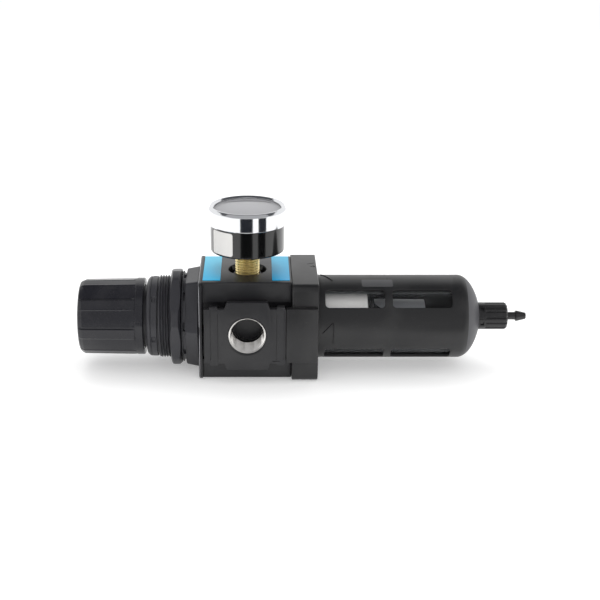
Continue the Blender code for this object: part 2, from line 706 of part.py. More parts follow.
def build_port_plug(brass, rubber):
    """The plug with a hexagon socket that closes the second gauge port, and its seal."""
    head = -(BODY_HALF_HEIGHT - 0.6 * MM)
    seal_bottom = -(BODY_HALF_HEIGHT - GAUGE_WELL_DEPTH)
    plug = finish("gauge_port_plug", turned([
        (head, 0.0),
        (head, PLUG_RADIUS + 0.7 * MM),
        (seal_bottom - ORING_RADIUS, PLUG_RADIUS + 0.7 * MM),
        (seal_bottom - ORING_RADIUS, PLUG_RADIUS - ORING_RADIUS),
        (seal_bottom + GAP, PLUG_RADIUS - ORING_RADIUS),
        (seal_bottom + GAP, PLUG_RADIUS),
        (head + PLUG_LENGTH, PLUG_RADIUS),
        (head + PLUG_LENGTH, 0.0),
    ], SIDES_MEDIUM, "Z"), brass)
    combine(plug, [prism(polygon(PLUG_HEX_RADIUS, 6), 4.0 * MM, "Z", head - 1.0 * MM)])
    middle = (2 * seal_bottom - ORING_RADIUS + GAP) / 2
    ring = ring_profile(middle, PLUG_RADIUS - GAP / 2, (ORING_RADIUS - GAP) / 2)
    finish("gauge_plug_seal", turned(ring, SIDES_MEDIUM, "Z"), rubber)


def ring_profile(place, radius, thickness):
    """The section of a rubber ring: a small circle of the given radius."""
    angles = [TAU * i / SEAL_CORNERS for i in range(SEAL_CORNERS)]
    return [(place + thickness * math.cos(a), radius + thickness * math.sin(a)) for a in angles]


def build_bonnet(plastic):
    """The bonnet: hexagon base, notched step, threaded barrel, slotted ring and neck."""
    inside_base = bonnet_base_left + 1.0 * MM
    bonnet = finish("bonnet", turned([
        (inside_base, 0.0),
        (inside_base, BONNET_THREAD_RADIUS),
        (thread_left, BONNET_THREAD_RADIUS),
        (thread_left, BONNET_UNDERCUT_RADIUS),
        (undercut_left, BONNET_UNDERCUT_RADIUS),
        (undercut_left, BONNET_RING_RADIUS),
        (ring_left + 1.6 * MM, BONNET_RING_RADIUS),
        (ring_left + 0.5 * MM, BONNET_RING_RADIUS - 0.5 * MM),
        (ring_left, BONNET_RING_RADIUS - 1.8 * MM),
        (ring_left, BONNET_NECK_RADIUS),
        (neck_left, BONNET_NECK_RADIUS),
        (neck_left, 0.0),
    ], SIDES_LARGE), plastic)
    step = as_cutter(finish("bonnet_step", turned(rod(bonnet_step_left, inside_base, BONNET_STEP_RADIUS),
                                                  SIDES_LARGE), None))
    notches = []
    for i in range(BONNET_STEP_NOTCHES):
        floor = BONNET_STEP_RADIUS - BONNET_NOTCH_DEPTH
        notch = block((bonnet_step_left - 1.0 * MM, floor, -BONNET_NOTCH_WIDTH / 2),
                      (bonnet_base_left - 0.2 * MM, floor + 3.0 * MM, BONNET_NOTCH_WIDTH / 2))
        notches.append(turn_mesh(notch, 360.0 * (i + 0.5) / BONNET_STEP_NOTCHES))
    combine(step, notches)
    base = as_cutter(hexagon("bonnet_base", BONNET_HEX_RADIUS, BONNET_HEX_RADIUS + 0.3 * MM,
                             BONNET_HEX_FACE_RADIUS, BONNET_HEX_CHAMFER,
                             bonnet_base_left, bonnet_right, 0.0, None))
    for tool in (step, base):
        add_boolean(bonnet, tool, "UNION")
    past = 1.0 * MM
    cuts = [turned([
        (neck_left - past, 0.0),
        (neck_left - past, SCREW_JOURNAL_RADIUS + GAP),
        (bonnet_floor, SCREW_JOURNAL_RADIUS + GAP),
        (bonnet_floor, BONNET_BORE_RADIUS),
        (bonnet_right + past, BONNET_BORE_RADIUS),
        (bonnet_right + past, 0.0),
    ], SIDES_LARGE)]
    for i in range(BONNET_RING_SLOTS):
        slot_right = undercut_left - BONNET_SLOT_START
        slot_floor = BONNET_RING_RADIUS - BONNET_SLOT_DEPTH
        slot = block((slot_right - BONNET_SLOT_LENGTH, -BONNET_SLOT_WIDTH / 2, slot_floor),
                     (slot_right, BONNET_SLOT_WIDTH / 2, BONNET_RING_RADIUS + past))
        cuts.append(turn_mesh(slot, 360.0 * i / BONNET_RING_SLOTS))
    groove_reach = BONNET_BORE_RADIUS + GUIDE_GROOVE_DEPTH
    for side in (-1, 1):
        near = side * (BONNET_BORE_RADIUS - 3.0 * MM)
        far = side * groove_reach
        cuts.append(block((bonnet_floor + past, min(near, far), -GUIDE_GROOVE_WIDTH / 2),
                          (bonnet_step_left, max(near, far), GUIDE_GROOVE_WIDTH / 2)))
    combine(bonnet, cuts)
    return bonnet


def hexagon(name, corner, crown, face_radius, chamfer, left, right, turn_deg, material):
    """A hexagon plate across X whose corners are turned round, with a cone at both ends."""
    item = finish(name, prism(polygon(corner, 6, turn_deg), right - left, "X", left), material)
    past = 0.3 * MM
    slope = (crown - face_radius) / chamfer
    envelope = turned([
        (left - past, 0.0),
        (left - past, face_radius - slope * past),
        (left + chamfer, crown),
        (right - chamfer, crown),
        (right + past, face_radius - slope * past),
        (right + past, 0.0),
    ], SIDES_LARGE)
    return combine(item, [envelope], "INTERSECT")


def build_panel_nut(plastic):
    """The hexagon nut that clamps a panel against the bonnet base."""
    nut = hexagon("panel_nut", NUT_CORNER_RADIUS, NUT_CROWN_RADIUS, NUT_FACE_RADIUS, NUT_CHAMFER,
                  nut_left, nut_right, NUT_TURN_DEG, plastic)
    past = 1.0 * MM
    combine(nut, [turned(rod(nut_left - past, nut_right + past, BONNET_THREAD_RADIUS + GAP), SIDES_LARGE)])
    return nut


def knob_ring(place, inset, flat_share):
    """One cross section of the grip: wide facets and narrow lands, pulled in by an inset."""
    step = 360.0 / KNOB_FLATS
    wide = KNOB_FLAT_DEG
    half = wide / 2
    profile = ((-half, 0.0), (-half / 2, 0.6), (0.0, 1.0), (half / 2, 0.8), (half, 0.35), (step / 2, 0.0))
    points = []
    radius = KNOB_RADIUS - inset
    for i in range(KNOB_FLATS):
        middle = KNOB_PHASE_DEG + half + i * step
        for offset, flat in profile:
            angle = TAU / 2 - math.radians(middle + offset)
            r = radius - KNOB_FLAT_DEPTH * flat * flat_share
            points.append((place, r * math.cos(angle), r * math.sin(angle)))
    return points


def build_knob(plastic):
    """The adjusting knob: a cup with a faceted grip, a plain skirt and a hub with a hexagon socket."""
    bm = bmesh.new()
    end_steps = 3
    sections = []
    for i in range(end_steps + 1):
        angle = TAU / 4 * i / end_steps
        sections.append((knob_left + KNOB_EDGE * (1 - math.sin(angle)),
                         KNOB_TAPER + KNOB_EDGE * (1 - math.cos(angle)) * 0.8, 1.0))
    sections.sort()
    sections.append((knob_grip_right, 0.0, 1.0))
    rings = [[bm.verts.new(p) for p in knob_ring(*section)] for section in sections]
    skirt_left = knob_grip_right + 0.5 * MM
    count = len(rings[0])
    for place, radius in ((skirt_left, KNOB_SKIRT_RADIUS), (knob_right - 0.6 * MM, KNOB_SKIRT_RADIUS),
                          (knob_right, KNOB_SKIRT_RADIUS - 0.5 * MM)):
        rings.append([bm.verts.new((place, radius * math.cos(a), radius * math.sin(a)))
                      for a in (math.atan2(v.co.z, v.co.y) for v in rings[0])])
    for first, second in zip(rings, rings[1:]):
        for k in range(count):
            bm.faces.new((first[k], first[(k + 1) % count], second[(k + 1) % count], second[k]))
    bm.faces.new(rings[0])
    bm.faces.new(rings[-1])
    knob = finish("adjusting_knob", bm, plastic)
    cavity = BONNET_NECK_RADIUS + PULL_PLAY
    hub_right = neck_left - KNOB_HUB_CLEARANCE
    hollow = turned([
        (knob_floor, KNOB_HUB_RADIUS),
        (knob_floor, cavity),
        (knob_right + 1.0 * MM, cavity),
        (knob_right + 1.0 * MM, 0.0),
        (hub_right, 0.0),
        (hub_right, KNOB_HUB_RADIUS),
    ], SIDES_LARGE)
    socket_left = screw_left - GAP
    socket = prism(polygon(SCREW_HEX_RADIUS + GAP, 6), hub_right + 1.0 * MM - socket_left, "X", socket_left)
    grooves = []
    for i in range(KNOB_FLATS):
        outer = KNOB_RADIUS + 1.0 * MM
        groove = block((knob_left - 1.0 * MM, KNOB_RADIUS - KNOB_GROOVE_DEPTH, -KNOB_GROOVE_WIDTH / 2),
                       (knob_grip_right - 0.4 * MM, outer, KNOB_GROOVE_WIDTH / 2))
        grooves.append(turn_mesh(groove, KNOB_GROOVE_PHASE_DEG + i * 360.0 / KNOB_FLATS))
    combine(knob, [hollow, socket] + grooves)
    return knob


def build_screw(steel):
    """The adjusting screw: hexagon drive, journal, thrust flange and threaded stem."""
    screw = finish("adjusting_screw", turned([
        (screw_hex_right, 0.0),
        (screw_hex_right, SCREW_JOURNAL_RADIUS),
        (screw_flange_left, SCREW_JOURNAL_RADIUS),
        (screw_flange_left, SCREW_FLANGE_RADIUS),
        (screw_flange_right, SCREW_FLANGE_RADIUS),
        (screw_flange_right, SCREW_RADIUS),
        (screw_right - 1.0 * MM, SCREW_RADIUS),
        (screw_right, SCREW_RADIUS - 1.0 * MM),
        (screw_right, 0.0),
    ], SIDES_SMALL), steel)
    drive = prism(polygon(SCREW_HEX_RADIUS, 6), SCREW_HEX_LENGTH + 1.0 * MM, "X", screw_left)
    combine(screw, [drive], "UNION")
    return screw


def build_spring_side(steel, zinc, spring_steel):
    """Thrust washer, travelling spring seat and control spring inside the bonnet."""
    washer = tube(washer_left, washer_right, SCREW_FLANGE_RADIUS, SCREW_JOURNAL_RADIUS + GAP)
    finish("thrust_washer", turned(washer, SIDES_SMALL), steel)
    hub_right = seat_right + SEAT_HUB_LENGTH
    seat = finish("spring_seat_nut", turned([
        (seat_left, SCREW_RADIUS + GAP),
        (seat_left, SEAT_RADIUS),
        (seat_right, SEAT_RADIUS),
        (seat_right, SEAT_HUB_RADIUS),
        (hub_right, SEAT_HUB_RADIUS),
        (hub_right, SCREW_RADIUS + GAP),
    ], SIDES_MEDIUM), zinc)
    reach = BONNET_BORE_RADIUS + GUIDE_GROOVE_DEPTH - GAP
    tab_half = GUIDE_GROOVE_WIDTH / 2 - GAP
    tabs = [block((seat_left + 0.2 * MM, side * reach if side < 0 else SEAT_HUB_RADIUS + 1 * MM, -tab_half),
                  (seat_right - 0.2 * MM, -SEAT_HUB_RADIUS - 1 * MM if side < 0 else reach, tab_half))
            for side in (-1, 1)]
    combine(seat, tabs, "UNION")
    spring = helix(CONTROL_COIL_RADIUS, CONTROL_WIRE_RADIUS, seat_right + GAP, plate_left - GAP,
                   CONTROL_TURNS, 10, 5)
    finish("control_spring", spring, spring_steel, smooth_deg=80.0)


def build_diaphragm(rubber, zinc, brass):
    """The diaphragm with its spring plate and the relief hub through its middle."""
    hole = HUB_RADIUS + GAP
    sheet = tube(diaphragm_left, diaphragm_right, DIAPHRAGM_RADIUS, hole)
    finish("diaphragm", turned(sheet, SIDES_LARGE), rubber)
    boss_left = plate_left - PLATE_BOSS_LENGTH
    finish("diaphragm_plate", turned([
        (plate_right, hole),
        (plate_right, PLATE_RADIUS),
        (plate_left, PLATE_RADIUS),
        (plate_left, PLATE_BOSS_RADIUS),
        (boss_left, PLATE_BOSS_RADIUS),
        (boss_left, hole),
    ], SIDES_MEDIUM), zinc)
    finish("relief_hub", turned([
        (boss_left + 0.4 * MM, RELIEF_HOLE_RADIUS),
        (boss_left + 0.4 * MM, HUB_RADIUS),
        (hub_flange_left, HUB_RADIUS),
        (hub_flange_left, HUB_FLANGE_RADIUS),
        (hub_flange_right, HUB_FLANGE_RADIUS),
        (hub_flange_right, RELIEF_HOLE_RADIUS),
    ], SIDES_SMALL), brass)


def build_valve(brass, rubber, spring_steel, plastic):
    """The valve: stem, rubber poppet, its seat ring, its spring and the guide that holds it."""
    stem_right = guide_socket_floor - GAP
    finish("valve_stem", turned(rod(stem_left, stem_right, STEM_RADIUS), SIDES_TINY), brass)
    poppet = tube(poppet_left, poppet_right, POPPET_RADIUS, STEM_RADIUS + GAP)
    finish("valve_poppet", turned(poppet, SIDES_SMALL), rubber)
    seat = tube(ring_seat_left, ring_seat_right, VALVE_BORE_RADIUS - GAP, SEAT_RING_BORE)
    finish("valve_seat", turned(seat, SIDES_MEDIUM), brass)
    spring = helix(VALVE_COIL_RADIUS, VALVE_WIRE_RADIUS, valve_spring_left, valve_spring_right,
                   VALVE_TURNS, 8, 4)
    finish("valve_spring", spring, spring_steel, smooth_deg=80.0)
    bore = STEM_RADIUS + GAP
    socket = BAFFLE_STEM_RADIUS + GAP
    guide = finish("valve_guide", turned([
        (guide_left, bore),
        (guide_left, VALVE_BORE_RADIUS - GAP),
        (guide_flange_right, VALVE_BORE_RADIUS - GAP),
        (guide_flange_right, GUIDE_NECK_RADIUS),
        (guide_right, GUIDE_NECK_RADIUS),
        (guide_right, socket),
        (guide_socket_floor, socket),
        (guide_socket_floor, bore),
    ], SIDES_MEDIUM), plastic)
    holes = []
    for i in range(GUIDE_HOLES):
        hole = turned(rod(guide_left - 1 * MM, guide_flange_right + 1 * MM, GUIDE_HOLE_RADIUS), SIDES_TINY)
        shift_mesh(hole, (0, GUIDE_HOLE_CIRCLE, 0))
        holes.append(turn_mesh(hole, 360.0 * i / GUIDE_HOLES))
    combine(guide, holes)


def build_collar(plastic):
    """The bowl collar: a square block with grip pads, bored for the bowl and the bayonet guard."""
    outline = rounded_box(collar_half_width, REST_HALF_HEIGHT, COLLAR_EDGE, 4)
    collar = finish("bowl_collar", prism(outline, COLLAR_LENGTH, "X", collar_left), plastic)
    pads = []
    for side in (-1, 1):
        outer = side * pad_reach
        inner = side * (collar_half_width - COLLAR_PAD_ROOT)
        pads.append(block((pad_left, min(outer, inner), -COLLAR_PAD_HALF_HEIGHT),
                          (collar_right - 0.5 * MM, max(outer, inner), COLLAR_PAD_HALF_HEIGHT)))
    combine(collar, pads, "UNION")
    groove = GUARD_RADIUS + LUG_REACH + GAP
    past = 1.0 * MM
    cuts = [turned([
        (collar_left - past, 0.0),
        (collar_left - past, spigot_radius + GAP),
        (collar_web_right, spigot_radius + GAP),
        (collar_web_right, collar_bowl_bore),
        (bowl_rim_left - GAP, collar_bowl_bore),
        (bowl_rim_left - GAP, collar_guard_bore),
        (lug_left - GAP, collar_guard_bore),
        (lug_left - GAP, groove),
        (lug_right + GAP, groove),
        (lug_right + GAP, collar_guard_bore),
        (collar_right + past, collar_guard_bore),
        (collar_right + past, 0.0),
    ], SIDES_LARGE)]
    for i in range(LUG_COUNT):
        sector = sector_block(GUARD_RADIUS - past, groove - 0.02 * MM, LUG_ENTRY_DEG,
                              lug_right - 0.5 * MM, collar_right + past)
        cuts.append(turn_mesh(sector, 90.0 + 360.0 * i / LUG_COUNT))
    head_floor = collar_right - FIXING_HEAD_LENGTH - FIXING_HEAD_SINK
    for y, z in screw_places():
        cuts.append(shift_mesh(turned([
            (collar_left - past, 0.0),
            (collar_left - past, FIXING_RADIUS + GAP),
            (head_floor, FIXING_RADIUS + GAP),
            (head_floor, FIXING_HEAD_RADIUS + GAP),
            (collar_right + past, FIXING_HEAD_RADIUS + GAP),
            (collar_right + past, 0.0),
        ], SIDES_TINY), (0, y, z)))
    combine(collar, cuts)


def sector_block(inner, outer, angle_deg, left, right, steps=4):
    """Part of a ring about X, centred on +Y, between two radii and two places."""
    half = math.radians(angle_deg) / 2
    angles = [-half + 2 * half * i / steps for i in range(steps + 1)]
    outline = [(outer * math.cos(a), outer * math.sin(a)) for a in angles]
    outline += [(inner * math.cos(a), inner * math.sin(a)) for a in reversed(angles)]
    return prism(outline, right - left, "X", left)


def build_fixings(steel):
    """Four socket screws that hold the collar to the body."""
    head_left = collar_right - FIXING_HEAD_LENGTH - FIXING_HEAD_SINK + GAP
    head_right = head_left + FIXING_HEAD_LENGTH
    tip = BODY_RIGHT - FIXING_LENGTH + GAP
    for number, (y, z) in enumerate(screw_places(), start=1):
        bm = turned([
            (tip, 0.0),
            (tip, FIXING_RADIUS),
            (head_left, FIXING_RADIUS),
            (head_left, FIXING_HEAD_RADIUS),
            (head_right, FIXING_HEAD_RADIUS),
            (head_right, 0.0),
        ], SIDES_TINY)
        screw = finish(f"collar_screw_{number}", shift_mesh(bm, (0, y, z)), steel, (head_left, y, z))
        socket = prism(polygon(FIXING_HEX_RADIUS, 6), 2.5 * MM, "X", head_right - 1.5 * MM)
        combine(screw, [shift_mesh(socket, (0, y, z))])


def dome(radius, start, length, mouth, steps):
    """A rounded end: the radius falls as a power of the cosine while the length runs as the sine."""
    last = math.acos((mouth / radius) ** (1 / DOME_FULLNESS))
    angles = [last * i / steps for i in range(steps + 1)]
    return [(start + length * math.sin(a), radius * math.cos(a) ** DOME_FULLNESS) for a in angles]


def build_guard(plastic):
    """The bowl guard: a domed tube with eight windows and three bayonet lugs."""
    outside = [(guard_left, GUARD_RADIUS)]
    outside += dome(GUARD_RADIUS, guard_cylinder_end, GUARD_DOME_LENGTH, guard_mouth, 6)
    inside = [(guard_left, guard_inner)]
    inside += dome(guard_inner, guard_cylinder_end - GUARD_WALL / 3, GUARD_DOME_LENGTH - GUARD_WALL,
                   guard_mouth, 5)
    guard = finish("bowl_guard", turned(outside + inside[::-1], SIDES_LARGE), plastic)
    lugs = []
    for i in range(LUG_COUNT):
        lug = sector_block(GUARD_RADIUS - GUARD_WALL / 2, GUARD_RADIUS + LUG_REACH, LUG_ANGLE_DEG,
                           lug_left, lug_right)
        lugs.append(turn_mesh(lug, 90.0 + BAYONET_TURN_DEG + 360.0 * i / LUG_COUNT))
    combine(guard, lugs, "UNION")
    windows = []
    half_width = GUARD_RADIUS * math.sin(math.radians(WINDOW_ANGLE_DEG / 2))
    for start in window_starts:
        outline = rounded_box(WINDOW_LENGTH / 2, half_width, WINDOW_CORNER, 3)
        for column in range(WINDOW_COLUMNS):
            window = prism(outline, WINDOW_TOOL_DEPTH + 2.0 * MM, "Z", GUARD_RADIUS - WINDOW_TOOL_DEPTH)
            shift_mesh(window, (start + WINDOW_LENGTH / 2, 0, 0))
            windows.append(turn_mesh(window, 45.0 + column * 360.0 / WINDOW_COLUMNS))
    combine(guard, windows)
    return guard


def build_bowl(clear, rubber):
    """The clear bowl with its rim, O-ring groove, domed end and threaded drain boss."""
    bore = DRAIN_STEM_RADIUS + GAP
    groove_floor = BOWL_RADIUS - ORING_RADIUS
    groove_half = ORING_RADIUS / 2 + GAP
    rim = BOWL_RADIUS + BOWL_RIM_REACH
    outside = [
        (bowl_left, BOWL_RADIUS),
        (oring_place - groove_half, BOWL_RADIUS),
        (oring_place - groove_half, groove_floor),
        (oring_place + groove_half, groove_floor),
        (oring_place + groove_half, BOWL_RADIUS),
        (bowl_rim_left, BOWL_RADIUS),
        (bowl_rim_left, rim),
        (bowl_rim_right, rim),
        (bowl_rim_right, BOWL_RADIUS),
    ]
    outside += dome(BOWL_RADIUS, bowl_dome_start, BOWL_DOME_LENGTH, BOWL_BOSS_RADIUS, 4)
    outside += [(boss_right, BOWL_BOSS_RADIUS), (boss_right, bore)]
    well = DRAIN_HEAD_RADIUS + 2.0 * MM
    start = bowl_dome_start - BOWL_WALL / 3
    length = (bowl_floor - start) / dome_reach(bowl_bore, well)
    inside = [(bowl_left, bowl_bore)] + dome(bowl_bore, start, length, well, 3) + [(bowl_floor, bore)]
    finish("bowl", turned(outside + inside[::-1], SIDES_BOWL), clear)
    ring_middle = groove_floor + GAP / 2 + ORING_RADIUS / 2
    ring = ring_profile(oring_place, ring_middle, ORING_RADIUS / 2 - 0.02 * MM)
    finish("bowl_seal", turned(ring, SIDES_BOWL), rubber)


def build_filter(plastic, element_plastic, rubber, dark):
    """Deflector with swirl vanes, element gasket, filter element and baffle."""
    inner = VALVE_BORE_RADIUS + 0.4 * MM
    hub = inner + 2.2 * MM
    disc = tube(deflector_left, vanes_left, spigot_radius, GUIDE_NECK_RADIUS + GAP)
    deflector = finish("deflector", turned(disc, SIDES_LARGE), plastic)
    joined = [turned(tube(vanes_left - 0.5 * MM, deflector_right, hub, inner), SIDES_MEDIUM)]
    for i in range(DEFLECTOR_VANES):
        vane = block((vanes_left - 0.4 * MM, hub - 0.6 * MM, -DEFLECTOR_VANE_THICKNESS / 2),
                     (deflector_right - 1.5 * MM, spigot_radius - 0.3 * MM, DEFLECTOR_VANE_THICKNESS / 2))
        turn_mesh(vane, DEFLECTOR_VANE_TILT_DEG, "Y", (vanes_left - 0.4 * MM, hub, 0))
        joined.append(turn_mesh(vane, 360.0 * i / DEFLECTOR_VANES))
    combine(deflector, joined, "UNION")
    gasket = tube(gasket_left, gasket_right, ELEMENT_RADIUS, ELEMENT_BORE)
    finish("element_gasket", turned(gasket, SIDES_MEDIUM), rubber)
    element = tube(element_left, element_right, ELEMENT_RADIUS, ELEMENT_BORE)
    finish("filter_element", turned(element, SIDES_LARGE), element_plastic)
    stem_start = guide_socket_floor + VALVE_TRAVEL + GAP
    skirt_bore = BAFFLE_SKIRT_RADIUS - BAFFLE_SKIRT_WALL
    finish("baffle", turned([
        (stem_start, 0.0),
        (stem_start, BAFFLE_STEM_RADIUS),
        (baffle_left, BAFFLE_STEM_RADIUS),
        (baffle_left, BAFFLE_RADIUS - 1.0 * MM),
        (baffle_left + 1.0 * MM, BAFFLE_RADIUS),
        (baffle_disc_right, BAFFLE_RADIUS),
        (baffle_disc_right, BAFFLE_SKIRT_RADIUS),
        (baffle_right, BAFFLE_SKIRT_RADIUS),
        (baffle_right, skirt_bore),
        (baffle_disc_right + 1.0 * MM, skirt_bore),
        (baffle_disc_right + 1.0 * MM, 0.0),
    ], SIDES_MEDIUM), dark)


def build_drain(plastic, brass, rubber):
    """The fluted drain knob, the drain stem with its hose barb, and the stem seal."""
    thread_clear = BOWL_BOSS_RADIUS + GAP
    knob = finish("drain_knob", turned([
        (drain_knob_left, thread_clear),
        (drain_knob_left, DRAIN_KNOB_RADIUS - 0.5 * MM),
        (drain_knob_left + 0.5 * MM, DRAIN_KNOB_RADIUS),
        (drain_knob_right - DRAIN_KNOB_CHAMFER, DRAIN_KNOB_RADIUS),
        (drain_knob_right, DRAIN_KNOB_RADIUS - DRAIN_KNOB_CHAMFER * 0.7),
        (drain_knob_right, DRAIN_STEM_RADIUS + GAP),
        (boss_right + GAP, DRAIN_STEM_RADIUS + GAP),
        (boss_right + GAP, thread_clear),
    ], SIDES_MEDIUM), plastic)
    cuts = []
    for i in range(DRAIN_KNOB_FLUTES):
        flute = turned(rod(drain_knob_left + DRAIN_FLUTE_START, drain_knob_right + 1.0 * MM,
                           DRAIN_FLUTE_RADIUS), SIDES_TINY)
        shift_mesh(flute, (0, DRAIN_KNOB_RADIUS + 0.1 * MM, 0))
        cuts.append(turn_mesh(flute, 360.0 * i / DRAIN_KNOB_FLUTES))
    for i in range(DRAIN_KNOB_SLOTS):
        slot_left = drain_knob_left + DRAIN_SLOT_START
        slot = block((slot_left, DRAIN_KNOB_RADIUS - 1.0 * MM, -DRAIN_SLOT_WIDTH / 2),
                     (slot_left + DRAIN_SLOT_LENGTH, DRAIN_KNOB_RADIUS + 1.0 * MM, DRAIN_SLOT_WIDTH / 2))
        cuts.append(turn_mesh(slot, 360.0 * (i + 0.5) / DRAIN_KNOB_SLOTS))
    combine(knob, cuts)
    seal_left = bowl_floor - GAP - 2 * DRAIN_SEAL_RADIUS
    head_right = seal_left - GAP
    head_left = head_right - DRAIN_HEAD_LENGTH
    finish("drain_stem", turned([
        (head_left, 0.0),
        (head_left, DRAIN_HEAD_RADIUS),
        (head_right, DRAIN_HEAD_RADIUS),
        (head_right, DRAIN_STEM_RADIUS),
        (barb_left, DRAIN_STEM_RADIUS),
        (barb_left, BARB_RADIUS),
        (drain_right - 0.3 * MM, BARB_TIP_RADIUS),
        (drain_right, BARB_TIP_RADIUS - 0.3 * MM),
        (drain_right, BARB_BORE),
        (barb_left - BARB_NECK_LENGTH, BARB_BORE),
        (barb_left - BARB_NECK_LENGTH, 0.0),
    ], SIDES_SMALL), brass)
    ring = ring_profile(seal_left + DRAIN_SEAL_RADIUS, DRAIN_STEM_RADIUS + GAP + DRAIN_SEAL_RADIUS,
                        DRAIN_SEAL_RADIUS)
    finish("drain_seal", turned(ring, SIDES_SMALL), rubber)


def gear_outline(teeth, cut, first_tooth):
    """The outline of a gear, or of a toothed sector with a round back, from the module."""
    pitch = GEAR_MODULE * teeth / 2
    tip = pitch + 0.8 * GEAR_MODULE
    root = pitch - 1.1 * GEAR_MODULE
    step = TAU / teeth
    points = []
    for i in range(cut):
        middle = step * (first_tooth + i)
        for share, radius in ((-0.34, root), (-0.13, tip), (0.13, tip), (0.34, root)):
            angle = middle + share * step
            points.append((radius * math.cos(angle), radius * math.sin(angle)))
    return points


def build_gauge(brass, black, chrome, glass, white, paint, steel):
    """The pressure gauge: stem, case, bezel, lens, dial, pointer, arbor, sector and Bourdon tube."""
    stem_bottom = BODY_HALF_HEIGHT - GAUGE_WELL_DEPTH - GAUGE_STEM_DEPTH + GAP
    case_floor = GAUGE_CASE_BOTTOM + GAUGE_CASE_FLOOR
    movement_bottom = case_floor + MOVEMENT_HEIGHT
    movement_top = movement_bottom + MOVEMENT_THICKNESS
    case_top = GAUGE_CASE_BOTTOM + GAUGE_CASE_HEIGHT
    dial_bottom = GAUGE_CASE_BOTTOM + GAUGE_DIAL_SEAT + GAP
    dial_top = dial_bottom + GAUGE_DIAL_THICKNESS
    lens_bottom = case_top + GAP
    lens_top = lens_bottom + GAUGE_LENS_THICKNESS
    bezel_under = lens_top + GAP
    bezel_top = bezel_under + BEZEL_LIP
    finish("gauge_stem", turned([
        (stem_bottom, GAUGE_BORE_RADIUS),
        (stem_bottom, GAUGE_STEM_RADIUS - 0.7 * MM),
        (stem_bottom + 0.7 * MM, GAUGE_STEM_RADIUS),
        (GAUGE_CASE_BOTTOM - GAP, GAUGE_STEM_RADIUS),
        (GAUGE_CASE_BOTTOM - GAP, GAUGE_NECK_RADIUS),
        (movement_bottom - GAP, GAUGE_NECK_RADIUS),
        (movement_bottom - GAP, 2.0 * MM),
        (movement_bottom - 3.0 * MM, GAUGE_BORE_RADIUS),
    ], SIDES_MEDIUM, "Z"), brass)
    case_inner = GAUGE_CASE_RADIUS - GAUGE_CASE_WALL
    dial_pocket = GAUGE_CASE_RADIUS - GAUGE_CASE_WALL / 2
    finish("gauge_case", turned([
        (GAUGE_CASE_BOTTOM, GAUGE_NECK_RADIUS + GAP),
        (GAUGE_CASE_BOTTOM, GAUGE_CASE_RADIUS - 1.2 * MM),
        (GAUGE_CASE_BOTTOM + 1.2 * MM, GAUGE_CASE_RADIUS),
        (case_top, GAUGE_CASE_RADIUS),
        (case_top, dial_pocket),
        (dial_bottom - GAP, dial_pocket),
        (dial_bottom - GAP, case_inner),
        (case_floor, case_inner),
        (case_floor, GAUGE_NECK_RADIUS + GAP),
    ], SIDES_GAUGE, "Z"), black)
    finish("gauge_dial", turned(tube(dial_bottom, dial_top, dial_pocket - GAP, ARBOR_RADIUS + GAP),
                                SIDES_GAUGE, "Z"), white)
    lens = rod(lens_bottom, lens_top, GAUGE_CASE_RADIUS - 0.2 * MM)
    finish("gauge_lens", turned(lens, SIDES_GAUGE, "Z"), glass)
    bezel_inner = GAUGE_CASE_RADIUS + GAP
    finish("gauge_bezel", turned([
        (BEZEL_BOTTOM, bezel_inner),
        (BEZEL_BOTTOM, BEZEL_RADIUS - 0.3 * MM),
        (BEZEL_BOTTOM + 0.6 * MM, BEZEL_RADIUS),
        (bezel_top - 1.6 * MM, BEZEL_RADIUS),
        (bezel_top - 0.4 * MM, BEZEL_RADIUS - 0.5 * MM),
        (bezel_top, BEZEL_RADIUS - 1.4 * MM),
        (bezel_top, BEZEL_OPENING_RADIUS + 0.5 * MM),
        (bezel_under, BEZEL_OPENING_RADIUS),
        (bezel_under, bezel_inner),
    ], SIDES_GAUGE, "Z"), chrome)
    sector_x = -GEAR_MODULE * (PINION_TEETH + SECTOR_TEETH) / 2
    gear_bottom = movement_top + 0.6 * MM
    gear_top = gear_bottom + GEAR_THICKNESS
    disc = tube(movement_bottom, movement_top, MOVEMENT_RADIUS, ARBOR_RADIUS + GAP)
    plate = finish("movement_plate", turned(disc, SIDES_MEDIUM, "Z"), brass)
    pivot = turned(rod(movement_bottom + 0.2 * MM, gear_top + 0.6 * MM, ARBOR_RADIUS), SIDES_TINY, "Z")
    combine(plate, [shift_mesh(pivot, (sector_x, 0, 0))], "UNION")
    shaft = rod(movement_bottom - 1.5 * MM, dial_top + 2.0 * MM, ARBOR_RADIUS)
    arbor = finish("pointer_arbor", turned(shaft, SIDES_TINY, "Z"), steel)
    pinion = gear_outline(PINION_TEETH, PINION_TEETH, 0.0)
    combine(arbor, [prism(pinion, GEAR_THICKNESS, "Z", gear_bottom)], "UNION")
    build_sector(brass, sector_x, gear_bottom)
    build_pointer(paint, dial_top)
    build_bourdon(brass, case_floor)


def build_sector(brass, sector_x, bottom):
    """The toothed sector that turns the pointer's pinion."""
    first = SECTOR_TEETH_AHEAD - SECTOR_TEETH_CUT
    outline = gear_outline(SECTOR_TEETH, SECTOR_TEETH_CUT, first)
    neck = 1.8 * MM
    outline += [(0.0, neck), (-neck, 0.0), (0.0, -neck)]
    bm = shift_mesh(prism(outline, GEAR_THICKNESS, "Z", bottom), (sector_x, 0, 0))
    sector = finish("sector_gear", bm, brass, (sector_x, 0.0, bottom))
    past = 1.0 * MM
    bore = rod(bottom - past, bottom + GEAR_THICKNESS + past, ARBOR_RADIUS + GAP)
    hole = turned(bore, SIDES_TINY, "Z")
    combine(sector, [shift_mesh(hole, (sector_x, 0, 0))])


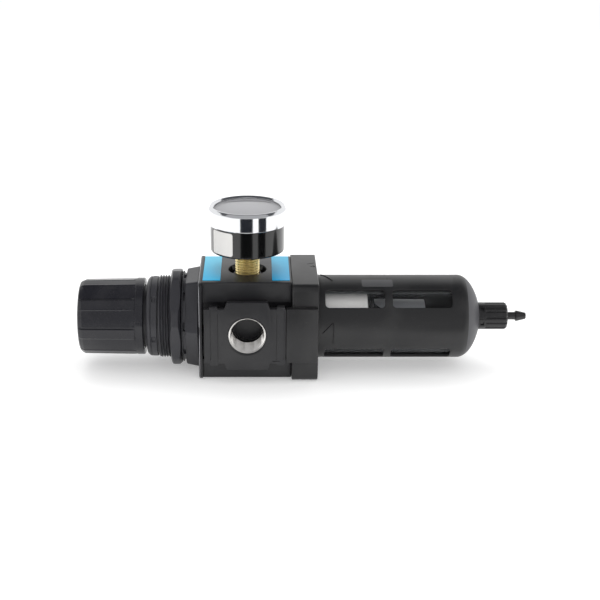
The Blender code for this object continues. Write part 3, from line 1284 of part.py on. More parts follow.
def build_pointer(paint, dial_top):
    """The pointer: a tapered needle with a round hub and a short tail."""
    bottom = dial_top + 0.8 * MM
    top = bottom + POINTER_THICKNESS
    half = POINTER_WIDTH / 2
    needle = [(POINTER_LENGTH, 0.12 * MM), (-POINTER_TAIL, half * 1.5), (-POINTER_TAIL, -half * 1.5),
              (POINTER_LENGTH, -0.12 * MM)]
    bm = turn_mesh(prism(needle, POINTER_THICKNESS, "Z", bottom), POINTER_ZERO_DEG, "Z")
    pointer = finish("gauge_pointer", bm, paint)
    hub = turned(rod(bottom - 0.1 * MM, top + 0.4 * MM, POINTER_HUB_RADIUS), SIDES_SMALL, "Z")
    combine(pointer, [hub], "UNION")
    bore = turned(rod(bottom - 1.0 * MM, top + 1.0 * MM, ARBOR_RADIUS + GAP), SIDES_TINY, "Z")
    combine(pointer, [bore])


def build_bourdon(brass, case_floor):
    """The Bourdon tube: a hoop of tube that opens as the pressure rises."""
    bm = bmesh.new()
    sides = SIDES_TINY
    up = Vector((0, 0, 1))
    place = case_floor + BOURDON_HEIGHT
    rings = []
    for i in range(BOURDON_STEPS + 1):
        angle = math.radians(BOURDON_SWEEP_DEG) * i / BOURDON_STEPS
        radial = Vector((math.cos(angle), math.sin(angle), 0))
        centre = radial * BOURDON_COIL_RADIUS + up * place
        turns = [TAU * k / sides for k in range(sides)]
        rings.append([bm.verts.new(centre + (radial * math.cos(t) + up * math.sin(t)) * BOURDON_TUBE_RADIUS)
                      for t in turns])
    for first, second in zip(rings, rings[1:]):
        for k in range(sides):
            bm.faces.new((first[k], first[(k + 1) % sides], second[(k + 1) % sides], second[k]))
    bm.faces.new(rings[0])
    bm.faces.new(rings[-1])
    tube_item = finish("bourdon_tube", bm, brass)
    arm = block((GAUGE_NECK_RADIUS + GAP, -BOURDON_ARM_HALF, place - BOURDON_ARM_HALF),
                (BOURDON_COIL_RADIUS, BOURDON_ARM_HALF, place + BOURDON_ARM_HALF))
    combine(tube_item, [arm], "UNION")


def build_all():
    """Build every piece of the filter regulator."""
    clear_scene()
    make_frame()
    black_metal = make_material("black_casting", (0.045, 0.045, 0.05), 0.45)
    black_plastic = make_material("black_plastic", (0.03, 0.03, 0.032), 0.4)
    knob_plastic = make_material("knob_plastic", (0.025, 0.025, 0.027), 0.3)
    guard_plastic = make_material("guard_plastic", (0.04, 0.04, 0.042), 0.5)
    dark_plastic = make_material("dark_plastic", (0.05, 0.05, 0.05), 0.5)
    clear_plastic = make_material("clear_plastic", (0.9, 0.93, 0.95), 0.05, alpha=0.3)
    grey_plastic = make_material("grey_plastic", (0.35, 0.35, 0.36), 0.5)
    sintered = make_material("sintered_plastic", (0.85, 0.84, 0.82), 0.8)
    blue_film = make_material("blue_film", (0.03, 0.5, 0.78), 0.35)
    rubber = make_material("black_rubber", (0.02, 0.02, 0.02), 0.7)
    brass = make_material("brass", (0.78, 0.57, 0.2), 0.25, 1.0)
    steel = make_material("plated_steel", (0.6, 0.6, 0.62), 0.3, 1.0)
    spring_steel = make_material("spring_steel", (0.4, 0.4, 0.42), 0.35, 1.0)
    zinc = make_material("zinc", (0.5, 0.5, 0.52), 0.4, 1.0)
    chrome = make_material("chrome", (0.85, 0.86, 0.88), 0.05, 1.0)
    glass = make_material("gauge_glass", (0.95, 0.97, 1.0), 0.02, alpha=0.25)
    white = make_material("dial_white", (0.85, 0.85, 0.84), 0.5)
    pointer_paint = make_material("pointer_black", (0.02, 0.02, 0.02), 0.4)
    build_body(black_metal)
    build_labels(blue_film)
    build_port_plug(steel, rubber)
    build_bonnet(black_plastic)
    build_panel_nut(black_plastic)
    build_knob(knob_plastic)
    build_screw(steel)
    build_spring_side(steel, zinc, spring_steel)
    build_diaphragm(rubber, zinc, brass)
    build_valve(brass, rubber, spring_steel, dark_plastic)
    build_collar(black_plastic)
    build_fixings(steel)
    build_guard(guard_plastic)
    build_bowl(clear_plastic, rubber)
    build_filter(grey_plastic, sintered, rubber, dark_plastic)
    build_drain(black_plastic, dark_plastic, rubber)
    build_gauge(brass, black_plastic, chrome, glass, white, pointer_paint, steel)


build_all()
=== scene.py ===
"""Looks of the filter regulator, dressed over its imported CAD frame.

Lengths are in millimetres from the port centre on the long axis: x along it, y to the back, z up.
"""
import math

import bmesh
import bpy
import numpy as np
from mathutils import Matrix, Vector


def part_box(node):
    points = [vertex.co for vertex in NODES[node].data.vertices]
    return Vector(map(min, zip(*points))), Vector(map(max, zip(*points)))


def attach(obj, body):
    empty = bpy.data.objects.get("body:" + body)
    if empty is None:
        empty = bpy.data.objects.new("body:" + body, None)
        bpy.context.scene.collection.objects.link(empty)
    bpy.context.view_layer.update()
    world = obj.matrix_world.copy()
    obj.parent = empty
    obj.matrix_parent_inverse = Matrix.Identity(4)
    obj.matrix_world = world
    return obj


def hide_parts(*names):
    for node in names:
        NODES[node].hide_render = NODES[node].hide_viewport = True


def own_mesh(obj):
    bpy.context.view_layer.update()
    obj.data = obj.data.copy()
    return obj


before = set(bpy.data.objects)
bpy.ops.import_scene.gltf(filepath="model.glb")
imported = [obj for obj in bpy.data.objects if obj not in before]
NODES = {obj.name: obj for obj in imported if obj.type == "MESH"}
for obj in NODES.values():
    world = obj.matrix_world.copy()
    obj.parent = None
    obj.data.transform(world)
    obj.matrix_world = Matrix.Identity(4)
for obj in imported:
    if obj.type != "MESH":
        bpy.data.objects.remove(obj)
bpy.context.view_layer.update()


def node_middle(node, axis):
    """The middle of a CAD node's box along one axis, in metres."""
    low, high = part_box(node)
    return (low[axis] + high[axis]) / 2


PORT_X = node_middle("gauge_stem", 0)
AXIS_Z = node_middle("drain_stem", 2)
BODY_TOP = 28.68
PORT_BORE = 10.3
PORT_FACE = 33.1
GUARD_RADIUS = 23.9
CELL = 40
CASE_RADIUS = 21.0
DIAL_START, DIAL_SWEEP = 225.0, 270.0
PORT_PITCH, GAUGE_PITCH = 25.4 / 14, 25.4 / 18
LABEL_SHEEN_SPAN = (-0.020, 0.023)
GLASS_IOR = 1.5
WHITE = (1.0, 1.0, 1.0, 1.0)


def node_ends(node, axis=0):
    """Where a CAD node starts and ends along an axis, in millimetres from the port centre."""
    low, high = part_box(node)
    shift = (PORT_X, 0.0, AXIS_Z)[axis]
    return (low[axis] - shift) * 1000.0, (high[axis] - shift) * 1000.0


# shapes as arrays of points


def soften(corners, closed=False, steps=5):
    """A polyline whose corners (a, b, radius) become arcs that touch both neighbouring sides."""
    points = np.array([c[:2] for c in corners], float)
    count = len(points)
    out = []
    for i, (a, b, radius) in enumerate(corners):
        if radius <= 0 or (not closed and i in (0, count - 1)):
            out.append([(a, b)])
            continue
        here = points[i]
        before = points[i - 1] - here
        after = points[(i + 1) % count] - here
        len_before = np.linalg.norm(before)
        len_after = np.linalg.norm(after)
        before = before / len_before
        after = after / len_after
        half = math.acos(np.clip(before @ after, -1, 1)) / 2
        if half > math.pi / 2 - 0.01:
            out.append([(a, b)])
            continue
        reach = min(radius / math.tan(half), 0.49 * len_before, 0.49 * len_after)
        radius = reach * math.tan(half)
        middle = (before + after) / np.linalg.norm(before + after) * radius / math.sin(half)
        centre = here + middle
        start = here + before * reach - centre
        end = here + after * reach - centre
        angle0 = math.atan2(start[1], start[0])
        turn = (math.atan2(end[1], end[0]) - angle0 + math.pi) % (2 * math.pi) - math.pi
        t = angle0 + turn * np.linspace(0, 1, steps + 1)
        out.append(np.column_stack([centre[0] + radius * np.cos(t), centre[1] + radius * np.sin(t)]))
    return np.vstack([np.array(o, float).reshape(-1, 2) for o in out])


def ramp(value, start, width):
    """0 up to a start, rising evenly to 1 over a width."""
    return np.clip((value - start) / width, 0, 1)


def stripe(value, middle, half, edge):
    """1 near a middle, falling evenly to 0 at half a band's width from it."""
    return np.clip((half - np.abs(value - middle)) / edge, 0, 1)


def soft_least(sharpness, *values):
    """The smallest of several arrays, with the corners between them rounded."""
    return -np.log(sum(np.exp(-value * sharpness) for value in values)) / sharpness


def refine(line, step, closed=True):
    """Points added along a polyline so that no side is longer than a step."""
    ends = np.roll(line, -1, axis=0) if closed else line[1:]
    starts = line if closed else line[:-1]
    parts = []
    for a, b in zip(starts, ends):
        count = max(1, int(math.ceil(np.linalg.norm(b - a) / step)))
        parts.append(a + (b - a) * (np.arange(count)[:, None] / count))
    if not closed:
        parts.append(line[-1:])
    return np.vstack(parts)


def ring_angles(sides):
    """Equal steps of a full turn."""
    return np.arange(sides) * (2 * math.pi / sides)


def about_x(place, radius, angle):
    """Points at places along X, radii and angles from +Y towards +Z."""
    place, radius, angle = np.broadcast_arrays(place, radius, angle)
    return np.stack([place, radius * np.cos(angle), radius * np.sin(angle)], axis=-1)


def about_z(place, radius, angle):
    """Points at heights, radii and angles from +X towards +Y round the gauge axis."""
    place, radius, angle = np.broadcast_arrays(place, radius, angle)
    return np.stack([radius * np.cos(angle), radius * np.sin(angle), place], axis=-1)


def about_y(place, radius, angle):
    """Points at places along Y, radii and angles from +X towards +Z round the port axis."""
    place, radius, angle = np.broadcast_arrays(place, radius, angle)
    return np.stack([radius * np.cos(angle), place, radius * np.sin(angle)], axis=-1)


def lathe(profile, sides, about=about_x, closed=False):
    """A profile of (place, radius) carried round an axis: rows along the profile, columns round it."""
    profile = np.asarray(profile, float)
    points = about(profile[:, :1], profile[:, 1:2], ring_angles(sides)[None, :])
    return points, closed, True


def inset(line, distance):
    """A closed outline moved inwards along its own normals by a distance."""
    ahead = np.roll(line, -1, axis=0) - line
    ahead /= np.linalg.norm(ahead, axis=1)[:, None] + 1e-12
    behind = np.roll(ahead, 1, axis=0)
    normal = np.column_stack([-(ahead + behind)[:, 1], (ahead + behind)[:, 0]])
    length = np.linalg.norm(normal, axis=1)[:, None]
    normal = normal / np.maximum(length, 1e-9)
    cosine = np.clip((normal * np.column_stack([-ahead[:, 1], ahead[:, 0]])).sum(1), 0.5, 1)
    return line + normal * (distance / cosine)[:, None]


def turning(line):
    """The signed area of an outline, positive where it runs counter-clockwise."""
    after = np.roll(line, -1, axis=0)
    return 0.5 * float((line[:, 0] * after[:, 1] - after[:, 0] * line[:, 1]).sum())


def across(outline, place, axis):
    """An outline stood at a place on an axis: (y, z) on X, (x, z) on Y, (x, y) on Z."""
    full = np.full(len(outline), float(place))
    columns = {"X": (full, outline[:, 0], outline[:, 1]), "Y": (outline[:, 0], full, outline[:, 1]),
               "Z": (outline[:, 0], outline[:, 1], full)}[axis]
    return np.column_stack(columns)


def slab(outline, start, end, edge, axis, edge_start=None, steps=4):
    """A flat plate: an outline carried between two places, its rims rounded by a quarter circle."""
    if turning(outline) < 0:
        outline = outline[::-1]
    edge_start = edge if edge_start is None else edge_start
    way = 1.0 if end > start else -1.0
    t = np.linspace(0, math.pi / 2, steps + 1)
    rows = [(edge_start * (1 - math.sin(a)), start + way * edge_start * (1 - math.cos(a))) for a in t]
    rows += [(edge * (1 - math.cos(a)), end - way * edge * (1 - math.sin(a))) for a in t]
    grid = np.stack([across(inset(outline, off), place, axis) for off, place in rows])
    return [(grid, False, True)], [grid[0], grid[-1]]


def stroke(start, end, half):
    """The outline of a straight stroke between two points."""
    start, end = np.array(start, float), np.array(end, float)
    along = (end - start) / np.linalg.norm(end - start)
    side = np.array([-along[1], along[0]]) * half
    return np.array([start - side, end - side, end + side, start + side])


def box_outline(low_a, high_a, low_b, high_b, corner, step=None):
    """A rectangle with round corners."""
    line = soften([(high_a, high_b, corner), (low_a, high_b, corner), (low_a, low_b, corner),
                   (high_a, low_b, corner)], closed=True)
    return refine(line, step) if step else line


def ring_sector(inner, outer, middle, half, count=17):
    """The outline of a piece of a flat ring, by its radii, middle angle and half angle in degrees."""
    t = np.radians(np.linspace(middle - half, middle + half, count))
    there = np.column_stack([outer * np.cos(t), outer * np.sin(t)])
    back = np.column_stack([inner * np.cos(t[::-1]), inner * np.sin(t[::-1])])
    return np.concatenate([there, back])


def turned(plate, degrees, columns=(0, 1)):
    """The grids and caps of a plate turned round the gauge axis, or by columns (1, 2) round the long axis."""
    first, second = columns
    cosine, sine = math.cos(math.radians(degrees)), math.sin(math.radians(degrees))

    def turn(points):
        """The two columns mixed by the turn."""
        out = points.copy()
        out[..., first] = points[..., first] * cosine - points[..., second] * sine
        out[..., second] = points[..., first] * sine + points[..., second] * cosine
        return out

    return [(turn(grid), u, v) for grid, u, v in plate[0]], [turn(cap) for cap in plate[1]]


# meshes from the arrays


def mesh_of(name, grids, caps=()):
    """One mesh from grids of points in millimetres and flat caps, its seams and poles merged."""
    verts, faces, base = [], [], 0
    for points, close_u, close_v in grids:
        rows, columns = points.shape[:2]
        index = base + np.arange(rows * columns).reshape(rows, columns)
        down = np.roll(index, -1, axis=0) if close_u else index[1:]
        here = index if close_u else index[:-1]
        if close_v:
            corner = (here, np.roll(here, -1, 1), np.roll(down, -1, 1), down)
        else:
            corner = (here[:, :-1], here[:, 1:], down[:, 1:], down[:, :-1])
        faces.extend(np.stack([c.ravel() for c in corner], axis=1).tolist())
        verts.append(points.reshape(-1, 3))
        base += rows * columns
    for ring in caps:
        faces.append(list(range(base, base + len(ring))))
        verts.append(np.asarray(ring, float))
        base += len(ring)
    world = np.vstack(verts) * 0.001 + np.array([PORT_X, 0.0, AXIS_Z])
    mesh = bpy.data.meshes.new(name)
    mesh.from_pydata(world.tolist(), [], faces)
    merge_points(mesh, outwards=True)
    return mesh


def merge_points(mesh, outwards=False):
    """Points of a mesh within two micrometres merged, and its faces turned outwards where asked."""
    bm = bmesh.new()
    bm.from_mesh(mesh)
    bmesh.ops.remove_doubles(bm, verts=bm.verts[:], dist=2e-6)
    if outwards:
        bmesh.ops.dissolve_degenerate(bm, edges=bm.edges[:], dist=1e-7)
        bmesh.ops.recalc_face_normals(bm, faces=bm.faces[:])
    bm.to_mesh(mesh)
    bm.free()


def carve(mesh, cutters):
    """A mesh with other meshes cut from it by exact Booleans."""
    item = bpy.data.objects.new("stock", mesh)
    bpy.context.collection.objects.link(item)
    tools = []
    for cutter in cutters:
        tool = bpy.data.objects.new("tool", cutter)
        bpy.context.collection.objects.link(tool)
        tools.append(tool)
        cut = item.modifiers.new("cut", "BOOLEAN")
        cut.operation = "DIFFERENCE"
        cut.solver = "EXACT"
        cut.object = tool
    bpy.context.view_layer.update()
    made = bpy.data.meshes.new_from_object(item.evaluated_get(bpy.context.evaluated_depsgraph_get()))
    for tool in tools + [item]:
        bpy.data.objects.remove(tool, do_unlink=True)
    return made


def add_piece(name, mesh, material, body, replaces=(), slot=None, crease=30.0):
    """Put a finished mesh in the scene, riding on a body."""
    mesh.name = name
    mesh.materials.clear()
    mesh.materials.append(material)
    mesh.shade_smooth()
    mesh.set_sharp_from_angle(angle=math.radians(crease))
    piece = bpy.data.objects.new(name, mesh)
    bpy.context.collection.objects.link(piece)
    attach(piece, body)
    if replaces:
        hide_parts(*replaces)
    return piece


def shell(name, grids, caps, material, body, **more):
    """A piece straight from its grids."""
    return add_piece(name, mesh_of(name, grids, caps), material, body, **more)


def turned_piece(name, profile, sides, material, body, about=about_x, closed=False, **more):
    """A piece turned from one profile."""
    return shell(name, [lathe(profile, sides, about, closed)], [], material, body, **more)


def turned_tool(profile, sides, about=about_x):
    """A cutter turned from a profile."""
    return mesh_of("tool", [lathe(profile, sides, about)])


def flat_tool(outline, start, end, axis):
    """A cutter in the form of a plate with square rims."""
    return mesh_of("tool", *slab(outline, start, end, 0.0, axis, steps=1))


def port_tool(side, near, far):
    """A cutter for the bore of one port, from near to far out along Y."""
    return turned_tool([(side * near, 0), (side * near, PORT_BORE), (side * far, PORT_BORE), (side * far, 0)],
                       96,
                       about_y)


# finishes


def fix_inputs(node, values):
    """Constant values on a node's own sockets."""
    for socket, value in values.items():
        node.inputs[socket].default_value = value


def add_node(tree, kind, feeds=None, values=None, **settings):
    """A shader node with its settings, its constant inputs, and the sockets that feed the others."""
    node = tree.nodes.new("ShaderNode" + kind)
    for name, value in settings.items():
        setattr(node, name, value)
    fix_inputs(node, values or {})
    for socket, source in (feeds or {}).items():
        tree.links.new(source, node.inputs[socket])
    return node


def new_group(name, inputs, outputs):
    """A node group with named sockets, and the sockets of its input and output nodes."""
    group = bpy.data.node_groups.new(name, "ShaderNodeTree")
    for way, sockets in (("INPUT", inputs), ("OUTPUT", outputs)):
        for label, kind in sockets.items():
            group.interface.new_socket(name=label, in_out=way, socket_type="NodeSocket" + kind)
    return group, group.nodes.new("NodeGroupInput").outputs, group.nodes.new("NodeGroupOutput").inputs


def group_grain():
    """Moulded or cast skin: two sizes of noise as a height, and a slow change of gloss."""
    group, given, out = new_group("skin_grain", {"Size": "Float", "Gloss Change": "Float", "Gloss": "Float"},
                                  {"Height": "Float", "Roughness": "Float"})
    place = add_node(group, "TexCoord").outputs["Object"]
    fine = add_node(group, "TexNoise", {"Vector": place, "Scale": given["Size"]}, {"Detail": 3.0})
    coarse = add_node(group, "TexNoise", {"Vector": place}, {"Scale": 140.0, "Detail": 2.0})
    slow = add_node(group, "TexNoise", {"Vector": place}, {"Scale": 55.0, "Detail": 5.0})
    height = add_node(group, "Math", {0: coarse.outputs["Fac"], 2: fine.outputs["Fac"]}, {1: 0.35},
                      operation="MULTIPLY_ADD")
    centred = add_node(group, "Math", {0: slow.outputs["Fac"]}, {1: 0.5}, operation="SUBTRACT")
    gloss = add_node(group, "Math", {0: centred.outputs[0], 1: given["Gloss Change"], 2: given["Gloss"]},
                     operation="MULTIPLY_ADD", use_clamp=True)
    group.links.new(height.outputs[0], out["Height"])
    group.links.new(gloss.outputs[0], out["Roughness"])
    return group


def group_dust():
    """Dust and handling marks: a colour tinted by sparse specks and faint smears."""
    group, given, out = new_group("dust_marks", {"Base": "Color", "Dust": "Color", "Amount": "Float"},
                                  {"Color": "Color"})
    place = add_node(group, "TexCoord").outputs["Object"]
    specks = add_node(group, "TexNoise", {"Vector": place}, {"Scale": 900.0, "Detail": 4.0})
    sparse = add_node(group, "MapRange", {"Value": specks.outputs["Fac"]},
                      {"From Min": 0.62, "From Max": 0.80})
    smear = add_node(group, "TexNoise", {"Vector": place}, {"Scale": 38.0, "Detail": 6.0, "Distortion": 0.6})
    soft = add_node(group, "MapRange", {"Value": smear.outputs["Fac"]}, {"From Min": 0.45, "From Max": 0.85})
    both = add_node(group, "Math", {0: sparse.outputs["Result"], 1: soft.outputs["Result"]},
                    operation="ADD", use_clamp=True)
    scaled = add_node(group, "Math", {0: both.outputs[0], 1: given["Amount"]}, operation="MULTIPLY")
    mix = add_node(group, "Mix", {"Factor": scaled.outputs[0], "A": given["Base"], "B": given["Dust"]},
                   data_type="RGBA")
    group.links.new(mix.outputs["Result"], out["Color"])
    return group


GRAIN = group_grain()
DUST = group_dust()


def new_material(name):
    """An empty node material, its tree and its Principled shader."""
    material = bpy.data.materials.new(name)
    material.use_nodes = True
    return material, material.node_tree, material.node_tree.nodes["Principled BSDF"]


def add_grain(tree, shader, size, change, gloss, bump=None):
    """Feed the grain group's uneven gloss to a shader, and its height where a bump depth is given."""
    grain = add_node(tree, "Group", values={"Size": size, "Gloss Change": change, "Gloss": gloss},
                     node_tree=GRAIN)
    tree.links.new(grain.outputs["Roughness"], shader.inputs["Roughness"])
    if bump:
        bumped = add_node(tree, "Bump", {"Height": grain.outputs["Height"]},
                          {"Strength": 1.0, "Distance": bump})
        tree.links.new(bumped.outputs["Normal"], shader.inputs["Normal"])


def skin(name, colour, gloss, grain=2500.0, bump=0.00001, change=0.12, metallic=0.0, dust=0.05,
         dust_colour=(0.30, 0.29, 0.28), specular=0.5, coat=0.0):
    """A solid finish: grained bump, uneven gloss and a little dust over its colour."""
    material, tree, shader = new_material(name)
    fix_inputs(shader, {"Metallic": metallic, "Specular IOR Level": specular})
    if coat:
        fix_inputs(shader, {"Coat Weight": coat, "Coat Roughness": 0.12})
    add_grain(tree, shader, grain, change, gloss, bump)
    dusted = add_node(tree, "Group", values={"Base": (*colour, 1.0), "Dust": (*dust_colour, 1.0),
                                            "Amount": dust},
                      node_tree=DUST)
    tree.links.new(dusted.outputs["Color"], shader.inputs["Base Color"])
    return material


def clear_skin(name, tint, lowest, gloss):
    """Clear plastic or glass: nearly open face on, and mirror-like at a slant, by Fresnel on the alpha."""
    material, tree, shader = new_material(name)
    fix_inputs(shader, {"Base Color": (*tint, 1.0), "Specular IOR Level": 1.0, "IOR": GLASS_IOR})
    fresnel = add_node(tree, "Fresnel", values={"IOR": GLASS_IOR})
    opened = add_node(tree, "MapRange", {"Value": fresnel.outputs["Fac"]},
                      {"From Min": 0.04, "From Max": 0.7, "To Min": lowest, "To Max": 1.0})
    tree.links.new(opened.outputs["Result"], shader.inputs["Alpha"])
    add_grain(tree, shader, 300.0, 0.05, gloss)
    return material


def label_skin(name, light, deep):
    """Printed film under a clear gloss, painted lighter at the back edge and deeper at the front as a painted
    sheen, with a random blotch in its tone.
    """
    material, tree, shader = new_material(name)
    place = add_node(tree, "TexCoord").outputs["Object"]
    parts = add_node(tree, "SeparateXYZ", {"Vector": place})
    # Painted sheen: along the label's span in Y the colour runs from the light blue at the back edge to the
    # deep blue at the front.
    painted_sheen = add_node(tree, "MapRange", {"Value": parts.outputs["Y"]},
                    {"From Min": LABEL_SHEEN_SPAN[0], "From Max": LABEL_SHEEN_SPAN[1]})
    blotch = add_node(tree, "TexNoise", {"Vector": place}, {"Scale": 260.0})
    shifted = add_node(tree, "Math", {0: blotch.outputs["Fac"], 2: painted_sheen.outputs["Result"]}, {1: 0.12},
                       operation="MULTIPLY_ADD", use_clamp=True)
    mix = add_node(tree, "Mix", {"Factor": shifted.outputs[0]}, {"A": (*deep, 1.0), "B": (*light, 1.0)},
                   data_type="RGBA")
    tree.links.new(mix.outputs["Result"], shader.inputs["Base Color"])
    fix_inputs(shader, {"Specular IOR Level": 0.3})
    add_grain(tree, shader, 1800.0, 0.08, 0.32, 0.000006)
    return material


CASTING = skin("black_powder_coat", (0.014, 0.014, 0.016), 0.36, 1600.0, 0.00002, 0.14)
BLACK = skin("black_moulding", (0.026, 0.026, 0.031), 0.36, 2600.0, 0.000012, 0.14)
KNOB = skin("knob_moulding", (0.011, 0.011, 0.015), 0.24, 3200.0, 0.000006, 0.12)
GUARD = skin("guard_moulding", (0.010, 0.010, 0.011), 0.38, 2200.0, 0.000018, 0.12)
COLLAR = skin("collar_moulding", (0.010, 0.010, 0.011), 0.33, 2000.0, 0.00002, 0.14)
DARK = skin("dark_moulding", (0.012, 0.012, 0.013), 0.25, 2600.0, 0.00001, 0.1)
# Painted light: the dome cone is the guard's dark moulding, coloured lighter to stand for light falling from
# the right; its matt grain is real.
DOME_PAINTED_LIGHT = skin("guard_dome_painted_light", (0.072, 0.072, 0.078), 0.5, 1500.0, 0.00004, 0.14)
# Painted highlight: the baffle's skirt is coloured pale grey to stand for a lit band on the dark moulding.
BAFFLE_PAINTED_HIGHLIGHT = skin("baffle_skirt_painted_highlight", (0.30, 0.31, 0.33), 0.5, 2600.0, 0.00001, 0.1)
DRAIN = skin("drain_moulding", (0.010, 0.010, 0.011), 0.22, 3000.0, 0.000008, 0.12)
RUBBER = skin("seal_rubber", (0.015, 0.015, 0.015), 0.6, 4200.0, 0.00001, 0.1, specular=0.3)
ELEMENT = skin("sintered_element", (0.93, 0.92, 0.91), 0.85, 1500.0, 0.00012, 0.1, dust=0.03,
               dust_colour=(0.6, 0.57, 0.52), specular=0.2)
BARE_ALLOY = skin("machined_alloy", (0.90, 0.88, 0.85), 0.3, 900.0, 0.000008, 0.2, 1.0, 0.06,
                  (0.5, 0.48, 0.45))
BARE_RIM = skin("cut_rim", (0.42, 0.42, 0.44), 0.34, 1600.0, 0.00001, 0.2, 1.0, 0.2, (0.05, 0.05, 0.05))
PAPER = skin("blank_sticker", (0.78, 0.77, 0.75), 0.5, 1600.0, 0.000004, 0.1, dust=0.04,
             dust_colour=(0.5, 0.48, 0.45))
PRINT_PLACE = skin("print_place", (0.050, 0.050, 0.053), 0.40, 3200.0, 0.000004, 0.1)
BRASS = skin("turned_brass", (1.0, 0.82, 0.40), 0.30, 1200.0, 0.000006, 0.12, 1.0, 0.06, (0.6, 0.42, 0.16))
CHROME = skin("bright_chrome", (0.80, 0.81, 0.83), 0.11, 700.0, 0.000002, 0.06, 1.0, 0.02, (0.5, 0.5, 0.5))
STEEL = skin("plated_steel", (0.55, 0.55, 0.57), 0.3, 1500.0, 0.000008, 0.16, 1.0, 0.06, (0.3, 0.3, 0.3))
ENAMEL = skin("gauge_enamel", (0.002, 0.002, 0.002), 0.14, 900.0, 0.000004, 0.06, dust=0.004, coat=0.4)
DIAL = skin("dial_enamel", (0.44, 0.44, 0.44), 0.45, 1800.0, 0.000006, 0.1, dust=0.02,
            dust_colour=(0.4, 0.4, 0.4))
INK = skin("dial_ink", (0.02, 0.02, 0.022), 0.5, 2600.0, 0.000004, 0.08, dust=0.0)
GREY = skin("grey_moulding", (0.25, 0.25, 0.26), 0.45, 2400.0, 0.00001, 0.1)
CLEAR = clear_skin("clear_bowl", (0.25, 0.26, 0.27), 0.015, 0.06)
LENS = clear_skin("gauge_glass", (0.6, 0.6, 0.62), 0.04, 0.03)
BLUE_LEFT = label_skin("label_film_left", (0.09, 0.555, 0.78), (0.0, 0.43, 0.76))
BLUE_RIGHT = label_skin("label_film_right", (0.04, 0.435, 0.68), (0.0, 0.31, 0.60))


# adjusting knob


def build_knob():
    """The grip: radius falls by a smooth facet across each wide flat and by a narrow valley at each groove.
    Rows run from the left pole over the rounded end, along the grip and skirt, and back inside to the hub."""
    left, right = node_ends("adjusting_knob")
    grip = right - 4.3
    angle = ring_angles(480)
    step = 360.0 / 8
    wide = 28.5
    local = (179.4 - np.degrees(angle)) % step
    on_wide = local < wide
    share = np.where(on_wide, local / wide, (local - wide) / (step - wide))
    flat = np.sin(math.pi * share) ** 0.5
    facet = np.where(on_wide, 0.6 * flat, 0.24 * flat)
    main_groove = np.exp(-(np.minimum(local, step - local) / 1.25) ** 4)
    soft_edge = np.exp(-(np.abs(local - wide) / 1.1) ** 2)
    relief = facet + 0.85 * main_groove - 0.12 * soft_edge
    outer = soften([(left, 0.0, 0), (left + 0.1, 15.0, 6.0), (left + 0.5, 20.2, 2.5), (left + 3.2, 21.7, 1.5),
                    (grip - 0.7, 22.15, 0.0), (grip - 0.35, 21.75, 0.2), (grip, 22.2, 0.2),
                    (grip + 0.3, 22.2, 0.0), (right - 0.4, 22.2, 0.35), (right, 21.7, 0.2),
                    (right, 18.3, 0.2), (left + 4.4, 18.2, 1.0), (left + 4.4, 8.0, 0.3),
                    (left + 11.4, 8.0, 0.3), (left + 11.4, 4.9, 0)], steps=6)
    outer = refine(outer, 1.4, closed=False)
    place, radius = outer[:, :1], outer[:, 1:]
    outside = (np.arange(len(place)) < np.argmax(place > grip + 0.2)).astype(float)[:, None]
    amount = ramp(place, left + 0.3, 2.2) * ramp(-place, 0.5 - grip, 0.5) * outside
    points = about_x(place, np.maximum(radius - relief[None, :] * amount, 0.0), angle[None, :])
    shell("adjusting_knob_shell", [(points, False, True)], [points[-1]], KNOB, "knob",
          replaces=["adjusting_knob"], slot="knob_plastic", crease=40.0)


# bonnet, its thread and the panel nut


def helical(place, angle, pitch, depth, flat):
    """A thread as a radius change: a V with flats that repeats each pitch and climbs one pitch a turn."""
    phase = (place / pitch - angle / (2 * math.pi)) % 1.0
    wave = np.abs(phase - 0.5) * 2
    return depth * np.clip((wave - flat) / (1 - 2 * flat), 0, 1)


def build_bonnet():
    """Neck, slotted ring and threaded barrel as one turned shell, the thread and slots cut in its radius."""
    left, right = node_ends("bonnet")
    _, nut_right = node_ends("panel_nut")
    step_left = nut_right + 0.6
    thread_left = step_left - 13.5
    ring_left = thread_left - 6.8
    sides = 264
    angle = ring_angles(sides)
    profile = soften([(left, 5.5, 0), (left, 17.6, 0.5), (ring_left, 17.6, 0.3), (ring_left, 21.6, 0.3),
                      (ring_left + 1.3, 22.9, 0.8), (ring_left + 2.2, 23.1, 0.4),
                      (thread_left - 0.8, 23.1, 0.3), (thread_left - 0.8, 21.9, 0.2),
                      (thread_left, 21.9, 0.2), (thread_left + 0.2, 23.75, 0.2),
                      (step_left + 0.2, 23.75, 0.0)], steps=4)
    profile = refine(profile, 0.2, closed=False)
    place, radius = profile[:, :1], profile[:, 1:]
    thread = helical(place, angle[None, :], 1.5, 0.95, 0.2) * ramp(place, thread_left + 0.2, 0.8)
    slots = stripe(place, ring_left + 4.2, 1.1, 0.25) * stripe((np.degrees(angle) + 14.0) % 60.0, 30.0, 4.2,
                                                               0.6)
    line = np.exp(-((place - (ring_left + 2.5)) / 0.22) ** 4) * 0.35
    on_ring = ((radius > 22.8) & (place < thread_left - 0.4)).astype(float)
    points = about_x(place, radius - thread - (slots * 0.8 + line) * on_ring, angle[None, :])
    bore = soften([(step_left + 0.2, 23.75, 0), (step_left + 0.2, 15.4, 0), (left + 4, 15.4, 0.5),
                   (left + 4, 5.5, 0.2), (left, 5.5, 0)])
    inner, _, _ = lathe(bore, sides)
    shell("bonnet_barrel", [(points, False, True), (inner, False, True)], [], BLACK, "body",
          slot="black_plastic", crease=35.0)
    notched_step(step_left, step_left + 2.0)
    hexagon_plate("bonnet_base", (step_left + 1.9, right), 29.8, 29.4, 27.0, (1.2, 0.1), 0.0, 15.4, "body",
                  ["bonnet"], draft=0.05)


